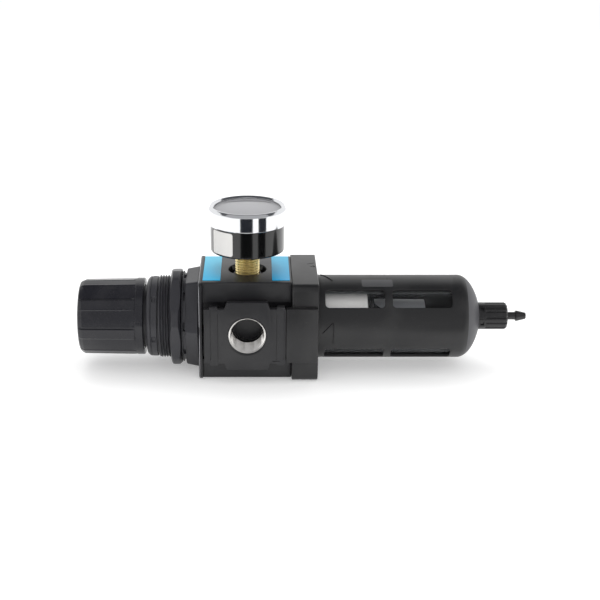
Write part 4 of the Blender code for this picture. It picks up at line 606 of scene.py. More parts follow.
def notched_step(left, right):
    """The narrow collar between thread and hexagon: a lip, a groove and long slots cut in its radius."""
    angle = ring_angles(720)
    line = soften([(left, 20.0, 0), (left, 26.2, 0.3), (left + 0.6, 26.2, 0.15), (left + 0.6, 25.0, 0.1),
                   (right + 0.2, 25.0, 0.0), (right + 0.2, 20.0, 0)])
    profile = refine(line, 0.2, closed=False)
    place, radius = profile[:, :1], profile[:, 1:]
    notch = stripe((np.degrees(angle) + 6.0) % 40.0, 20.0, 6.0, 0.4)
    deep = ramp(radius, 24.2, 0.3) * ramp(place, left + 0.7, 0.2)
    points = about_x(place, radius - 1.4 * notch * deep, angle[None, :])
    shell("bonnet_step", [(points, True, True)], [], BLACK, "body", slot="black_plastic")


def hexagon_plate(name, ends, corner, crown, face, chamfers, turn, bore, body, replaced, draft=0.0):
    """A bored hexagon whose radius is the smallest of the flats, of a round crown and of the cones turned on
    both ends; a draft narrows its left end."""
    left, right = ends
    sides = 720
    angle = ring_angles(sides)
    sixth = math.pi / 3
    from_flat = (angle - math.radians(turn)) % sixth - sixth / 2
    flats = corner * math.cos(sixth / 2) / np.cos(from_flat)
    flats = soft_least(6, flats, crown - 0.02)
    stops = [(left, 0.0), (left + 1.6, 0), (right - 1.6, 0), (right, 0)]
    place = refine(np.array(stops), 0.2, closed=False)[:, :1]
    narrow = 1.0 - draft * (right - place) / (right - left)
    cone = [face + (crown + 0.6 - face) * np.clip(distance / chamfer, 0, 3)
            for distance, chamfer in ((place - left, chamfers[0]), (right - place, chamfers[1]))]
    to_end = np.minimum(place - left, right - place)
    rim = np.sqrt(np.clip(1 - (1 - np.clip(to_end / 0.3, 0, 1)) ** 2, 0, 1)) * 0.3 - 0.3
    radius = soft_least(7, flats[None, :] * narrow, *cone) + rim
    walls = about_x(place, radius, angle[None, :])
    bore_line = soften([(right, bore + 1.0, 0), (right, bore, 0.4), (left, bore, 0.4), (left, bore + 1.0, 0)])
    inner, _, _ = lathe(bore_line, sides)
    both = np.concatenate([walls, inner])
    shell(name, [(both, True, True)], [], BLACK, body, replaces=replaced, slot="black_plastic", crease=25.0)


# body casting


def rectangle_block(low, high, corner, edge, axis):
    """A block with its four long corners and both rims rounded."""
    a, b, c = {"X": (1, 2, 0), "Y": (0, 2, 1), "Z": (0, 1, 2)}[axis]
    return slab(box_outline(low[a], high[a], low[b], high[b], corner), low[c], high[c], edge, axis)


def side_block(side, x, y, z, corner, edge, axis):
    """A block by its x, y and z ranges at the back, or with its y range mirrored to the front."""
    near, far = sorted((side * y[0], side * y[1]))
    return rectangle_block((x[0], near, z[0]), (x[1], far, z[1]), corner, edge, axis)


def build_body():
    """Core, left flange and the two clamp flanges; wells and port bores are cut with flared tools."""
    left, _ = node_ends("main_body")
    seat = [(left - 1.0, 0), (left - 1.0, 20.7), (left + 3.4, 20.7), (left + 3.4, 9.2), (left + 6.0, 9.2),
            (left + 6.0, 0)]
    outline = box_outline(-27.0, 27.0, -28.7, 28.7, 3.2)
    plate = mesh_of("flange", *slab(outline, left + 0.03, left + 2.2, 0.4, "X", edge_start=0.62))
    add_piece("body_flange", carve(plate, [turned_tool(seat, 96)]), CASTING, "body", slot="casting")
    quarter = np.linspace(0, math.pi / 2, 6)
    rim = [(0.75 * (1 - math.sin(a)), left + 0.65 * (1 - math.cos(a))) for a in quarter]
    rim += [(0.3, left + 0.8), (0.8, left + 0.3)]
    band = np.stack([across(inset(outline, off), place, "X") for off, place in rim])
    shell("flange_bare_rim", [(band, True, True)], [], BARE_RIM, "body", slot="casting")
    well = soften([(20.0, 0, 0), (20.0, 7.2, 0), (26.2, 7.2, 0.2), (26.2, 9.9, 0.3), (28.1, 10.6, 0.4),
                   (29.2, 11.6, 0), (29.2, 0, 0)])
    low_well = [(-18.0, 0), (-18.0, 7.2), (-28.0, 7.6), (-29.2, 8.6), (-29.2, 0)]
    tools = [turned_tool(seat, 96), port_tool(-1, 16.0, 26.0), port_tool(1, 16.0, 26.0),
             turned_tool(well, 96, about_z), turned_tool(low_well, 96, about_z)]
    for side in (-1, 1):
        recess = side_block(side, (left + 2.3, 25.5), (20.6, 25.5), (-17.3, 17.3), 0.3, 0.0, "Y")
        tools.append(mesh_of("tool", *recess))
    tools += [flat_tool(ring_sector(7.9, 10.9, middle, 21.0), 20.0, 29.5, "Z") for middle in (12.0, 168.0)]
    core = mesh_of("core", *rectangle_block((left + 2.0, -24.4, -28.6), (24.9, 24.4, BODY_TOP), 1.3, 0.5,
                                            "X"))
    add_piece("body_core", carve(core, tools), CASTING, "body", replaces=["main_body"], slot="casting")
    spigot = soften([(24.6, 12.0, 0), (24.6, 18.9, 0), (28.5, 18.9, 0.3), (28.5, 12.0, 0)])
    turned_piece("body_spigot", spigot, 96, CASTING, "body", closed=True, slot="casting")
    for side, name in ((-1, "front"), (1, "back")):
        build_flange(side, name)
        build_port(side, name)


def build_flange(side, name):
    """A clamp flange: the stepped outline of tab, notches and ribs, bored, on a narrower neck."""
    face = side * PORT_FACE
    half = [(21.4, 16.0, 0.24), (20.9, 16.0, 0.2), (20.9, 17.3, 0.3), (16.6, 17.3, 0.3), (16.3, 16.1, 0.2),
            (12.6, 16.1, 0.4), (11.3, 19.9, 0.8)]
    upper = half + [(-a, b, r) for a, b, r in reversed(half[1:])] + [(-24.0, 16.0, 0.4)]
    outline = soften(upper + [(a, -b, r) for a, b, r in reversed(upper)], closed=True, steps=4)
    plate = mesh_of("plate", *slab(outline, side * 29.9, face, 0.15, "Y", edge_start=0.1))
    mouth = soften([(side * 28.0, 0, 0), (side * 28.0, PORT_BORE, 0), (side * 32.2, 10.4, 0),
                    (side * 33.4, 11.7, 0), (side * 33.4, 0, 0)])
    tools = [turned_tool(mouth, 128, about_y)]
    lines = [(place - 0.16, place + 0.16, 0.35, -14.0, 14.6) for place in (20.5, 16.35, -20.5, -16.35)]
    for x0, x1, depth, z0, z1 in lines + [(14.0, 18.2, 0.3, -14.95, -14.6)]:
        cut = rectangle_block((x0, face - depth, z0), (x1, face + 0.5, z1), 0.1, 0.0, "Y")
        tools.append(mesh_of("tool", *cut))
    add_piece(f"port_flange_{name}", carve(plate, tools), CASTING, "body", slot="casting")
    neck = mesh_of("neck", *side_block(side, (-21.0, 18.4), (20.0, 31.0), (-13.0, 13.0), 0.8, 0.0, "Y"))
    add_piece(f"port_neck_{name}", carve(neck, [port_tool(side, 19.0, 32.0)]), CASTING, "body",
              slot="casting")


def build_port(side, name):
    """The taper thread of a port, its radius cut by a helix that fades at both ends, and its floor."""
    angle = ring_angles(160)
    depth = np.arange(0.0, 16.0, PORT_PITCH / 11)[:, None]
    radius = 10.75 - depth / 32.0
    fade = ramp(depth, 0.8, 0.9) * ramp(-depth, -15.4, 1.0)
    cut = radius - fade * (1.3 - helical(depth, side * angle[None, :], PORT_PITCH, 1.3, 0.08)) * 0.95
    thread = about_y(side * (33.08 - depth), cut + ramp(-depth, -0.9, 1.0), angle[None, :])
    shell(f"port_thread_{name}", [(thread, False, True)], [], BARE_ALLOY, "body", slot="casting", crease=50.0)
    floor = soften([(side * 17.1, float(radius[-1, 0]), 0), (side * 17.1, 8.2, 0.2), (side * 14.5, 8.0, 0.8),
                    (side * 14.0, 4.2, 0.5), (side * 9.5, 3.8, 0), (side * 9.5, 0, 0)])
    turned_piece(f"port_floor_{name}", floor, 160, DARK, "body", about_y, slot="casting", crease=50.0)


def build_labels():
    """Two bare films with rounded corners, a hair proud of the casting's top."""
    for side, material in (("left", BLUE_LEFT), ("right", BLUE_RIGHT)):
        node = f"label_plate_{side}"
        outline = box_outline(*node_ends(node), *node_ends(node, 1), 0.5)
        film = slab(outline, BODY_TOP + 0.01, BODY_TOP + 0.2, 0.06, "Z", edge_start=0.0)
        shell(f"label_film_{side}", *film, material, "body", replaces=[node], slot="label_film")


# gauge


def build_gauge():
    """Stem thread, enamelled case, chrome bezel, glass, dial and pointer."""
    bottom, top = node_ends("gauge_stem", 2)
    angle = ring_angles(160)
    thread_low, thread_high = 24.4, 40.3
    place = np.arange(thread_low, thread_high, GAUGE_PITCH / 11)[:, None]
    fade = ramp(-place, 0.5 - thread_high, 0.4)
    radius = 6.95 - helical(place, angle[None, :], GAUGE_PITCH, 0.55, 0.16) * fade
    points = about_z(place, radius, angle[None, :])
    lower = soften([(bottom, 1.2, 0), (bottom, 6.1, 0.3), (thread_low, 6.6, 0)])
    foot, _, _ = lathe(lower, 160, about_z)
    upper = soften([(thread_high, 6.85, 0), (thread_high, 4.2, 0), (top, 4.2, 0.2), (top, 1.2, 0),
                    (bottom, 1.2, 0)])
    head, _, _ = lathe(upper, 160, about_z)
    grid = np.concatenate([foot[:-1], points, head[1:-1]])
    shell("gauge_stem_thread", [(grid, True, True)], [], BRASS, "body", replaces=["gauge_stem"], slot="brass",
          crease=45.0)
    build_case()
    low, high = node_ends("gauge_bezel", 2)
    ring = soften([(low, 21.2, 0.1), (low, 21.7, 0.25), (low + 0.5, 21.95, 0.3), (high - 1.7, 22.0, 1.3),
                   (high, 20.9, 0.9), (high, 20.1, 0.6), (high - 0.7, 19.1, 0.4), (high - 1.2, 18.6, 0.2),
                   (high - 1.25, 20.9, 0.1)], closed=True, steps=8)
    turned_piece("gauge_bezel_ring", ring, 192, CHROME, "body", about_z, True, replaces=["gauge_bezel"],
                 slot="chrome", crease=50.0)
    low, high = node_ends("gauge_lens", 2)
    glass = soften([(low, 0, 0), (low, 20.2, 0.2), (high, 20.2, 0.2), (high, 0, 0)])
    turned_piece("gauge_lens_glass", glass, 128, LENS, "body", about_z, replaces=["gauge_lens"],
                 slot="gauge_glass")
    build_dial()
    build_pointer()


def build_case():
    """The case with its seam cut down one side, and a bare sticker on the other."""
    low, high = node_ends("gauge_case", 2)
    case = soften([(low, 4.6, 0.1), (low, CASE_RADIUS, 0.9), (high, CASE_RADIUS, 0.2), (high, 19.6, 0.2),
                   (58.7, 19.6, 0.1), (58.7, 18.6, 0.2), (low + 1.5, 18.6, 0.8), (low + 1.5, 4.6, 0.1)],
                  closed=True)
    body = mesh_of("case", [lathe(refine(case, 3.0), 160, about_z, closed=True)])
    seam = rectangle_block((-0.14, 20.6, low + 2.0), (0.14, 21.6, high + 1.0), 0.05, 0.0, "Z")
    add_piece("gauge_case_shell", carve(body, [mesh_of("tool", *turned(seam, -157.0))]), ENAMEL, "body",
              replaces=["gauge_case"], slot="black_plastic", crease=35.0)
    rounded = box_outline(-7.5, 7.5, low + 1.3, low + 14.6, 1.3, 0.7)
    sticker = wrap_plate(rounded, CASE_RADIUS, 0.07, -133.0, 10, about_z, 1)
    shell("case_label_blank", [(sticker, False, True)], [], PAPER, "body", slot="label_film", crease=50.0)


def wrap_plate(outline, radius, thickness, middle, steps, about, along):
    """A thin plate wrapped round an axis: its outline, whose column along the axis is named, shrinks in steps
    to its own middle, so that every ring of points lies on the cylinder."""
    centre = outline.mean(axis=0)
    rings = [(outline, 0.0), (outline, thickness)]
    rings += [(centre + (outline - centre) * share, thickness) for share in np.linspace(0.9, 0.0, steps)]
    return np.stack([about(line[:, along], radius + lift, line[:, 1 - along] / radius + math.radians(middle))
                     for line, lift in rings])


def build_dial():
    """A disc with 41 printed ticks over 270 degrees, an arc along them and nine plain numbers."""
    low, high = node_ends("gauge_dial", 2)
    disc = soften([(low, 1.0, 0), (low, 19.3, 0.1), (high, 19.3, 0.15), (high, 1.0, 0)])
    turned_piece("gauge_dial_face", disc, 128, DIAL, "body", about_z, True, replaces=["gauge_dial"],
                 slot="dial")
    ink_low, ink_high = high - 0.02, high + 0.03
    grids, caps = [], []
    for tick in range(41):
        inner, half = (13.4, 0.2) if tick % 5 == 0 else (14.9, 0.11)
        mark = slab(box_corners(inner, 16.4, half), ink_low, ink_high, 0.0, "Z", steps=1)
        more_grids, more_caps = turned(mark, DIAL_START - DIAL_SWEEP * tick / 40)
        grids += more_grids
        caps += more_caps
    arc = np.radians(np.linspace(DIAL_START, DIAL_START - DIAL_SWEEP, 121))
    band = np.stack([about_z(np.full(121, z), np.full(121, r), arc) for z, r in
                     ((ink_low, 16.3), (ink_high, 16.3), (ink_high, 16.65), (ink_low, 16.65))])
    grids.append((band, True, False))
    caps += [band[:, 0], band[:, -1]]
    shell("gauge_dial_ticks", grids, caps, INK, "body", slot="dial")
    for number in range(9):
        build_number(number, math.radians(DIAL_START - DIAL_SWEEP * number / 8), high)


def box_corners(low, high, half):
    """The four corners of a strip along the first axis."""
    return np.array([(low, -half), (high, -half), (high, half), (low, half)])


def build_number(number, angle, height):
    """One plain number of the dial as a mesh, stood at its angle."""
    curve = bpy.data.curves.new("numeral", "FONT")
    curve.body = str(number * 2)
    curve.size = 0.0034
    curve.align_x = "CENTER"
    curve.align_y = "CENTER"
    curve.extrude = 0.00002
    item = bpy.data.objects.new("numeral", curve)
    bpy.context.collection.objects.link(item)
    bpy.context.view_layer.update()
    mesh = bpy.data.meshes.new_from_object(item.evaluated_get(bpy.context.evaluated_depsgraph_get()))
    bpy.data.objects.remove(item, do_unlink=True)
    reach = 0.0112
    mesh.transform(Matrix.Translation((PORT_X + reach * math.cos(angle), reach * math.sin(angle),
                                       AXIS_Z + height * 0.001 + 0.00002)))
    add_piece(f"dial_number_{number}", mesh, INK, "body", slot="dial")


def build_pointer():
    """A tapered blade with a counterweight, on a turned hub, at the dial's start."""
    low, _ = node_ends("gauge_pointer", 2)
    side = [(14.0, 0.14, 0), (3.0, 0.62, 0.3), (-3.0, 0.85, 0.4), (-5.0, 1.2, 0.3)]
    blade = soften(side + [(a, -b, r) for a, b, r in reversed(side)], closed=True)
    grids, caps = turned(slab(blade, low + 0.1, low + 0.45, 0.08, "Z", steps=2), DIAL_START)
    hub = soften([(low, 1.0, 0), (low, 1.9, 0.1), (low + 0.9, 1.9, 0.3), (low + 0.95, 1.0, 0)], closed=True)
    shell("gauge_pointer_blade", grids + [lathe(hub, 48, about_z, closed=True)], caps, INK, "pointer",
          replaces=["gauge_pointer"], slot="pointer")


# bowl collar


def build_collar():
    """The square collar with its two grip pads, bored for bowl and guard, with counterbored screw holes."""
    left, right = 25.0, 39.8
    bore = soften([(left - 1, 0, 0), (left - 1, 19.3, 0), (27.2, 19.3, 0), (27.2, 22.0, 0), (30.3, 22.0, 0),
                   (30.3, 24.35, 0), (right - 0.5, 24.35, 0), (right + 0.5, 25.3, 0), (right + 0.5, 0, 0)])
    tools = [turned_tool(bore, 144)]
    for i in range(3):
        tools.append(flat_tool(ring_sector(22.5, 25.75, 90.0 + 120.0 * i, 15.0), 35.0, right + 1.0, "X"))
    hole = soften([(left - 1, 0, 0), (left - 1, 1.8, 0), (36.0, 1.8, 0), (36.0, 3.1, 0),
                   (right - 0.3, 3.1, 0),
                   (right + 0.3, 3.7, 0), (right + 0.3, 0, 0)])
    grid, close_u, close_v = lathe(hole, 40)
    for y in (-20.6, 20.6):
        for z in (-22.6, 22.6):
            tools.append(mesh_of("tool", [(grid + np.array([0, y, z]), close_u, close_v)]))
    for line in (((34.6, 8.8), (38.6, 10.6)), ((36.0, 4.6), (38.9, 3.2)), ((37.6, 6.0), (38.9, 3.2))):
        tools.append(flat_tool(stroke(*line, 0.27), 27.9, 29.5, "Z"))
    stock = mesh_of("stock", *rectangle_block((left, -29.8, -28.7), (right, 29.8, 28.7), 4.0, 0.6, "X"))
    add_piece("bowl_collar_block", carve(stock, tools), COLLAR, "body", replaces=["bowl_collar"],
              slot="black_plastic")
    for side, name in ((-1, "front"), (1, "back")):
        pad = side_block(side, (21.7, 39.3), (28.6, 32.9), (-16.0, 16.0), 0.5, 0.3, "X")
        shell(f"collar_pad_{name}", *pad, COLLAR, "body", slot="black_plastic")


# bowl guard


def guard_cell(ends, window_ends, low, high, wall):
    """A cell of the unrolled wall, carried from its straight border to the rounded window, over the lip and
    through the wall to the same border inside."""
    lip = 0.35
    inner = GUARD_RADIUS - wall
    corners = np.array([(ends[0], low), (ends[1], low), (ends[1], high), (ends[0], high)])
    border = np.vstack([a + (b - a) * np.linspace(0, 1, count + 1)[:-1, None]
                        for a, b, count in zip(corners, np.roll(corners, -1, axis=0), (30, CELL, 30, CELL))])
    middle = (low + high) / 2
    half = math.radians(13.5) * GUARD_RADIUS
    line = refine(box_outline(*window_ends, middle - half, middle + half, 2.2), 0.8)
    window = match_round(border, line, np.array([sum(window_ends) / 2, middle]))
    quarter = np.linspace(0, math.pi / 2, 5)

    def between(share):
        """A line that share of the way from the border to the window."""
        return border * (1 - share) + inset_matched(window, -lip) * share

    rows = [(between(share), GUARD_RADIUS) for share in (0.0, 0.35, 0.7, 1.0)]
    rows += [(inset_matched(window, -lip * (1 - math.sin(a))), GUARD_RADIUS - lip * (1 - math.cos(a)))
             for a in quarter[1:]]
    rows += [(inset_matched(window, -lip * (1 - math.cos(a))),
              inner + lip * (1 - math.sin(a))) for a in quarter]
    rows += [(between(share), inner) for share in (0.7, 0.35, 0.0)]
    return np.stack([about_x(row[:, 0], radius, row[:, 1] / GUARD_RADIUS) for row, radius in rows])


def build_guard():
    """The guard: plain rings, eight window cells and a domed end, each a grid whose edges meet."""
    left, _ = node_ends("bowl_guard")
    wall = 1.7
    inner = GUARD_RADIUS - wall
    first, second, last = 41.6, 79.8, 118.0
    quarter = GUARD_RADIUS * math.pi / 2
    grids = []
    for ends, window_ends in (((first, second), (44.0, 77.7)), ((second, last), (81.9, 115.6))):
        for column in range(4):
            low = quarter * column
            grids.append((guard_cell(ends, window_ends, low, low + quarter, wall), False, True))
    mouth = refine(soften([(first, GUARD_RADIUS, 0), (left, GUARD_RADIUS, 0.4), (left, inner, 0.4),
                           (first, inner, 0)]), 2.0, closed=False)
    outside = dome_line(121.0, 13.4, GUARD_RADIUS, 22)
    inside = dome_line(120.4, 11.7, inner, 18)
    shoulder = int(np.argmax(outside[:, 1] < 22.9))
    front = np.vstack([[(last, GUARD_RADIUS), (119.6, GUARD_RADIUS)], outside[:shoulder + 1]])
    tail = np.vstack([outside[-1:], inside[::-1], [(119.6, inner), (last, inner)]])
    grids += [lathe(line, 4 * CELL) for line in (mouth, front, tail)]
    # The outer cone of the dome takes the painted light finish, lighter than the rest of the guard.
    turned_piece("bowl_guard_dome", outside[shoulder:], 4 * CELL, DOME_PAINTED_LIGHT, "bowl_unit", slot="guard_plastic",
                 crease=35.0)
    shell("bowl_guard_shell", grids, [], GUARD, "bowl_unit", replaces=["bowl_guard"], slot="guard_plastic",
          crease=35.0)
    build_guard_marks()
    lugs, lug_caps = [], []
    for i in range(3):
        grid, caps = slab(ring_sector(23.0, 25.55, 135.0 + 120.0 * i, 12.0, 15), 32.95, 35.85, 0.2, "X",
                          steps=2)
        lugs += grid
        lug_caps += caps
    shell("bowl_guard_lugs", lugs, lug_caps, GUARD, "bowl_unit", slot="guard_plastic")


def dome_line(start, length, radius, count, end=8.16):
    """The profile of a dome: the radius falls with the cosine to the power 1.25 down to its end radius."""
    t = np.linspace(0, 1, count)[:, None] * math.acos((end / radius) ** 0.8)
    return np.hstack([start + length * np.sin(t), radius * np.cos(t) ** 1.25])


def build_guard_marks():
    """Raised moulded lines by the collar as half-round beads on the wall, and a bare place for a print."""
    beads = []
    for points in (((42.2, 79.0), (48.3, 102.0)), ((42.6, 184.3), (48.0, 170.2)),
                   ((48.7, 169.0), (48.7, 200.0))):
        start, end = (np.array([x, math.radians(a) * GUARD_RADIUS]) for x, a in points)
        middle = start + (end - start) * np.linspace(0, 1, 25)[:, None]
        side = np.array([-(end - start)[1], (end - start)[0]]) / np.linalg.norm(end - start) * 0.4
        rows = []
        for a in np.linspace(0, math.pi, 7):
            line = middle + side * math.cos(a)
            rows.append(about_x(line[:, 0], GUARD_RADIUS - 0.05 + 0.45 * math.sin(a),
                                line[:, 1] / GUARD_RADIUS))
        beads.append((np.stack(rows), True, False))
    ends = [grid[:, i] for grid, _, _ in beads for i in (0, -1)]
    shell("guard_moulded_lines", beads, ends, GUARD, "bowl_unit", slot="guard_plastic", crease=40.0)
    plate = wrap_plate(box_outline(65.0, 82.6, -3.4, 3.4, 1.0, 0.8), GUARD_RADIUS, 0.06, 108.0, 8, about_x, 0)
    shell("guard_print_place", [(plate, False, True)], [], PRINT_PLACE, "bowl_unit", slot="guard_plastic",
          crease=50.0)


def match_round(border, line, centre):
    """Points of a closed line picked so that each faces the border point at the same angle from a centre."""
    if turning(line) * turning(border) < 0:
        line = line[::-1]
    dense = refine(line, 0.05)
    spot = dense - centre
    dense_angle = np.arctan2(spot[:, 1], spot[:, 0])
    order = np.argsort(dense_angle)
    half_border = np.abs(border - centre).max(axis=0)
    half_line = np.abs(line - centre).max(axis=0)
    scaled = (border - centre) / half_border * half_line
    wanted = np.arctan2(scaled[:, 1], scaled[:, 0])
    x = np.interp(wanted, dense_angle[order], dense[order, 0], period=2 * math.pi)
    y = np.interp(wanted, dense_angle[order], dense[order, 1], period=2 * math.pi)
    return np.column_stack([x, y])


def inset_matched(line, distance):
    """inset() for a line of either turning sense; a negative distance grows it."""
    return inset(line, distance) if turning(line) > 0 else inset(line, -distance)


# bowl and what shows through it


def build_bowl():
    """The clear bowl, its dome inside and out run into the boss; it casts no shadow on what it holds."""
    left, right = node_ends("bowl")
    bulge, floor = right - 11.5, 2.16
    outer_reach = math.sin(math.acos((5.4 / 21.3) ** 0.8))
    inner_reach = math.sin(math.acos((6.4 / 19.5) ** 0.8))
    outside = dome_line(118.8, (bulge - 118.8) / outer_reach, 21.3, 18, 5.4)
    inside = dome_line(118.2, (bulge - floor - 118.2) / inner_reach, 19.5, 18, 6.4)
    rim = soften([(left, 19.5, 0), (left, 21.3, 0.3), (30.7, 21.3, 0.2), (30.7, 23.0, 0.3), (32.2, 23.0, 0.3),
                  (32.3, 21.3, 0.3), (36.0, 21.3, 0)])
    boss = soften([(bulge, 5.4, 0), (right, 5.4, 0.4), (right, 2.6, 0.2), (bulge - floor, 2.6, 0.2),
                   (bulge - floor, 6.4, 0)])
    profile = np.vstack([rim, outside[:-1], boss, inside[::-1][1:]])
    clear = turned_piece("bowl_clear_wall", refine(profile, 4.0), 128, CLEAR, "bowl_unit", closed=True,
                         replaces=["bowl"], slot="clear_plastic", crease=35.0)
    clear.visible_shadow = False


def build_element():
    """The white element, and the baffle: a dished disc with a skirt painted pale as a painted highlight, and
    four ribs.
    """
    left, right = node_ends("filter_element")
    ring = soften([(left, 15.0, 0.5), (right, 15.0, 0.5), (right, 10.5, 0.4), (left, 10.5, 0.4)], closed=True)
    turned_piece("filter_element_body", refine(ring, 2.0), 128, ELEMENT, "body", closed=True,
                 replaces=["filter_element"], slot="element")
    left, right = node_ends("baffle")
    disc = 69.1
    dish = soften([(left, 0, 0), (left, 3.0, 0.3), (disc, 3.0, 0.5), (disc, 16.2, 0.3),
                   (disc + 1.0, 17.2, 0.3),
                   (disc + 3.0, 17.2, 0.5), (disc + 3.0, 9.0, 0), (disc + 3.0, 0, 0)])
    turned_piece("baffle_disc", refine(dish, 4.0, closed=False), 96, DARK, "body", replaces=["baffle"],
                 slot="dark_plastic", crease=40.0)
    # The skirt takes the pale painted highlight finish; the disc and ribs keep the dark moulding.
    skirt = soften([(disc + 2.9, 8.2, 0), (disc + 2.9, 9.9, 0), (right, 9.6, 0.4), (right, 8.1, 0.3)],
                   closed=True)
    turned_piece("baffle_skirt", refine(skirt, 4.0), 96, BAFFLE_PAINTED_HIGHLIGHT, "body", closed=True, slot="dark_plastic",
                 crease=40.0)
    outline = soften([(disc + 2.8, 9.4, 0.4), (disc + 2.8, 16.2, 0.4), (disc + 7.5, 9.4, 0.4)], closed=True)
    ribs, rib_caps = [], []
    for i in range(4):
        grids, caps = turned(slab(outline, -0.6, 0.6, 0.15, "Y", steps=2), 45.0 + 90.0 * i, (1, 2))
        ribs += grids
        rib_caps += caps
    shell("baffle_ribs", ribs, rib_caps, DARK, "body", slot="dark_plastic")


# drain


def build_drain():
    """The fluted drain knob, whose radius dips at each flute, and the stem with its barb."""
    left, right = node_ends("drain_knob")
    angle = ring_angles(420)
    line = soften([(left, 5.8, 0), (left, 7.3, 0.2), (left + 0.5, 7.86, 0.3), (right - 1.1, 7.86, 0.9),
                   (right, 7.0, 0.5), (right, 3.0, 0.4), (right - 0.8, 2.6, 0.2), (right - 3.5, 2.6, 0),
                   (right - 3.5, 5.8, 0)])
    line = refine(line, 0.25, closed=True)
    place, radius = line[:, :1], line[:, 1:]
    share = 360.0 / 14
    flute = np.exp(-(np.abs(np.degrees(angle) % share - share / 2) / 4.2) ** 4) * ramp(place, left + 4.2, 0.5)
    slot = stripe((np.degrees(angle) + 15.0) % 60.0, 30.0, 9.5, 1.0) * stripe(place, left + 2.4, 0.95, 0.2)
    points = about_x(place, radius - (0.62 * flute + 0.8 * slot) * (radius > 6.4), angle[None, :])
    shell("drain_knob_shell", [(points, True, True)], [], DRAIN, "drain_turn", replaces=["drain_knob"],
          slot="black_plastic", crease=40.0)
    left, right = node_ends("drain_stem")
    barb = right - 6.2
    stem = soften([(left, 0, 0), (left, 4.4, 0.3), (left + 2.4, 4.4, 0.3), (left + 2.4, 2.25, 0.2),
                   (barb, 2.25, 0.4), (barb + 0.3, 3.08, 0.35), (barb + 1.2, 3.05, 0.5),
                   (right - 0.4, 1.95, 0.4), (right, 1.6, 0.2), (right, 1.2, 0.1), (barb - 5.0, 1.2, 0.1),
                   (barb - 5.0, 0, 0)])
    turned_piece("drain_stem_barb", refine(stem, 2.0, closed=False), 72, DRAIN, "drain_valve",
                 replaces=["drain_stem"], slot="dark_plastic", crease=40.0)


# studio


def seen_directly(tree):
    """1 for camera, mirror and see-through rays, and 0 for the light that falls on the object."""
    path = add_node(tree, "LightPath").outputs
    seen = add_node(tree, "Math", {0: path["Is Camera Ray"], 1: path["Is Glossy Ray"]}, operation="MAXIMUM")
    also = add_node(tree, "Math", {0: seen.outputs[0], 1: path["Is Transmission Ray"]}, operation="MAXIMUM")
    return also.outputs[0]


def build_world():
    """White where it is seen, a little less where it lights."""
    bpy.context.scene.view_settings.view_transform = "Standard"
    world = bpy.data.worlds.new("studio")
    world.use_nodes = True
    bpy.context.scene.world = world
    tree = world.node_tree
    tree.nodes.clear()
    soft = add_node(tree, "Background", values={"Color": WHITE, "Strength": 0.88})
    white = add_node(tree, "Background", values={"Color": WHITE, "Strength": 1.0})
    mix = add_node(tree, "MixShader", {"Fac": seen_directly(tree), 1: soft.outputs[0], 2: white.outputs[0]})
    add_node(tree, "OutputWorld", {"Surface": mix.outputs[0]})


def add_sheet(name, corners, material):
    """A four-cornered sheet that belongs to the studio."""
    mesh = bpy.data.meshes.new(name)
    mesh.from_pydata(corners, [], [(0, 1, 2, 3)])
    mesh.materials.append(material)
    sheet = bpy.data.objects.new(name, mesh)
    bpy.context.collection.objects.link(sheet)
    return sheet


def build_floor():
    """A pale matt floor that keeps the shadow and is lifted to white where it is seen."""
    material, tree, shader = new_material("pale_floor")
    fix_inputs(shader, {"Base Color": (0.80, 0.80, 0.80, 1.0), "Roughness": 0.9, "Specular IOR Level": 0.0,
                        "Emission Color": WHITE})
    lift = add_node(tree, "Math", {0: seen_directly(tree)}, {1: 0.30}, operation="MULTIPLY")
    tree.links.new(lift.outputs[0], shader.inputs["Emission Strength"])
    reach, level = 12.0, -0.0002
    add_sheet("floor", [(-reach, -reach, level), (reach, -reach, level), (reach, reach, level),
                        (-reach, reach, level)], material)


def build_lights():
    """Soft lamps, and dark cards that only show in reflections, as a photographer sets them."""
    add_lamp("overhead_softbox", (0.05, 0.50, 0.82), (0.0, 0.0, 0.03), 1.3, 0.7, 4.4)
    add_lamp("front_softbox", (0.10, -0.85, 0.32), (0.03, 0.0, 0.03), 0.9, 0.4, 1.6)
    add_lamp("left_softbox", (-0.9, -0.25, 0.55), (0.0, 0.0, 0.03), 0.5, 0.7, 0.8)
    add_lamp("right_softbox", (0.95, -0.15, 0.5), (0.0, 0.0, 0.03), 0.5, 0.7, 0.8)
    for name, start, end in (("left_floor_card", -20.0, 16.0), ("right_floor_card", 32.0, 56.0)):
        corners = []
        for reach, degrees in ((0.15, start), (0.15, end), (1.3, end), (1.3, start)):
            a = math.radians(degrees)
            corners.append((PORT_X + reach * math.sin(a), -reach * math.cos(a), 0.001))
        add_card(name, corners, (0.022, 0.024, 0.03))
    add_card("overhead_card", [(-2.5, -0.52, 1.6), (2.5, -0.52, 1.6), (2.5, 1.16, 1.6), (-2.5, 1.16, 1.6)],
             (0.09, 0.092, 0.10))
    wall = [(-2.5, -2.6, 0.12), (2.5, -2.6, 0.12), (2.5, -0.53, 1.6), (-2.5, -0.53, 1.6)]
    add_card("front_wall_card", wall, (0.45, 0.45, 0.46))


def add_card(name, corners, colour):
    """A glowing card that the camera doesn't see and that casts no shadow."""
    material, tree, shader = new_material(name)
    tree.nodes.remove(shader)
    glow = add_node(tree, "Emission", values={"Color": (*colour, 1.0)})
    tree.links.new(glow.outputs[0], tree.nodes["Material Output"].inputs["Surface"])
    card = add_sheet(name, corners, material)
    for ray in ("camera", "diffuse", "shadow", "transmission"):
        setattr(card, f"visible_{ray}", False)


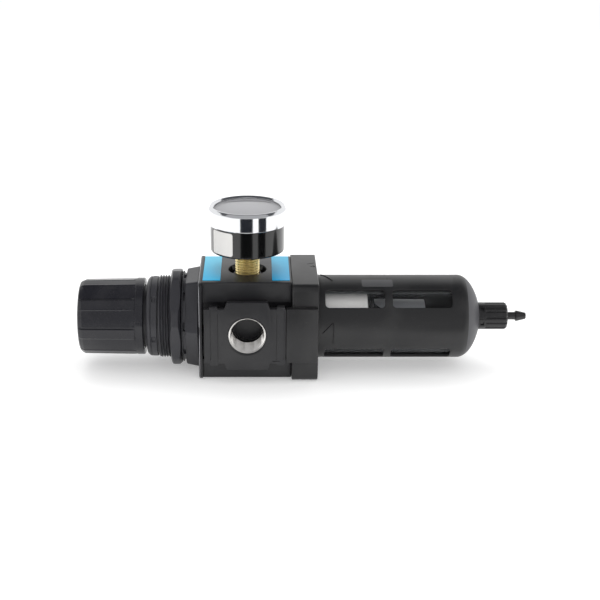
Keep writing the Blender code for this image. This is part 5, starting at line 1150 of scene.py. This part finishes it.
def add_lamp(name, place, target, width, depth, power):
    """A rectangular area lamp aimed at a point."""
    data = bpy.data.lights.new(name, "AREA")
    data.shape = "RECTANGLE"
    data.size = width
    data.size_y = depth
    data.energy = power
    lamp = bpy.data.objects.new(name, data)
    lamp.location = place
    way = Vector(target) - Vector(place)
    lamp.rotation_euler = way.to_track_quat("-Z", "Y").to_euler()
    lamp.visible_glossy = False
    bpy.context.collection.objects.link(lamp)


def build_camera():
    """The photograph's view: 20 degrees down, square to the front, the port a little left of the middle."""
    data = bpy.data.cameras.new("camera")
    data.sensor_width = 36.0
    data.lens = 75.04
    data.shift_x = 0.0729
    data.clip_start = 0.01
    data.clip_end = 60.0
    camera = bpy.data.objects.new("camera", data)
    camera.location = (PORT_X + 0.00505, -0.67905, AXIS_Z + 0.25619)
    camera.rotation_euler = (math.radians(70.05), 0.0, 0.0)
    bpy.context.collection.objects.link(camera)
    bpy.context.scene.camera = camera


def build_flexing():
    """Springs and diaphragm as merged copies of their CAD meshes, put on the body with their finishes. Each
    row also gives a joint and a travel in millimetres, which nothing here uses."""
    for name, node, joint, travel, material in (
            ("control_spring_coil", "control_spring", "spring_seat_travel", 12.05, STEEL),
            ("valve_spring_coil", "valve_spring", "valve_travel", 1.25, STEEL),
            ("diaphragm_disc", "diaphragm", "diaphragm_travel", 0.95, RUBBER)):
        mesh = NODES[node].data.copy()
        merge_points(mesh)
        piece = add_piece(name, mesh, material, "body", replaces=[node])
        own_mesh(piece)


def dress_nodes():
    """Finishes for the CAD nodes that keep their own shape."""
    finishes = (
        (STEEL, "adjusting_screw thrust_washer spring_seat_nut diaphragm_plate gauge_port_plug pointer_arbor "
                "collar_screw_1 collar_screw_2 collar_screw_3 collar_screw_4"),
        (BRASS, "relief_hub valve_seat valve_stem bourdon_tube movement_plate sector_gear"),
        (RUBBER, "valve_poppet element_gasket bowl_seal drain_seal gauge_plug_seal"),
        (DARK, "valve_guide"),
        (GREY, "deflector"),
    )
    for material, names in finishes:
        for name in names.split():
            data = NODES[name].data
            if data.materials:
                data.materials[0] = material
            else:
                data.materials.append(material)


build_camera()
dress_nodes()
build_knob()
build_bonnet()
hexagon_plate("panel_nut_ring", node_ends("panel_nut"), 31.0, 28.9, 26.6, (1.5, 1.5), -15.0, 24.2, "nut",
              ["panel_nut"])
build_body()
build_labels()
build_gauge()
build_collar()
build_guard()
build_bowl()
build_element()
build_drain()
build_flexing()
build_world()
build_floor()
build_lights()
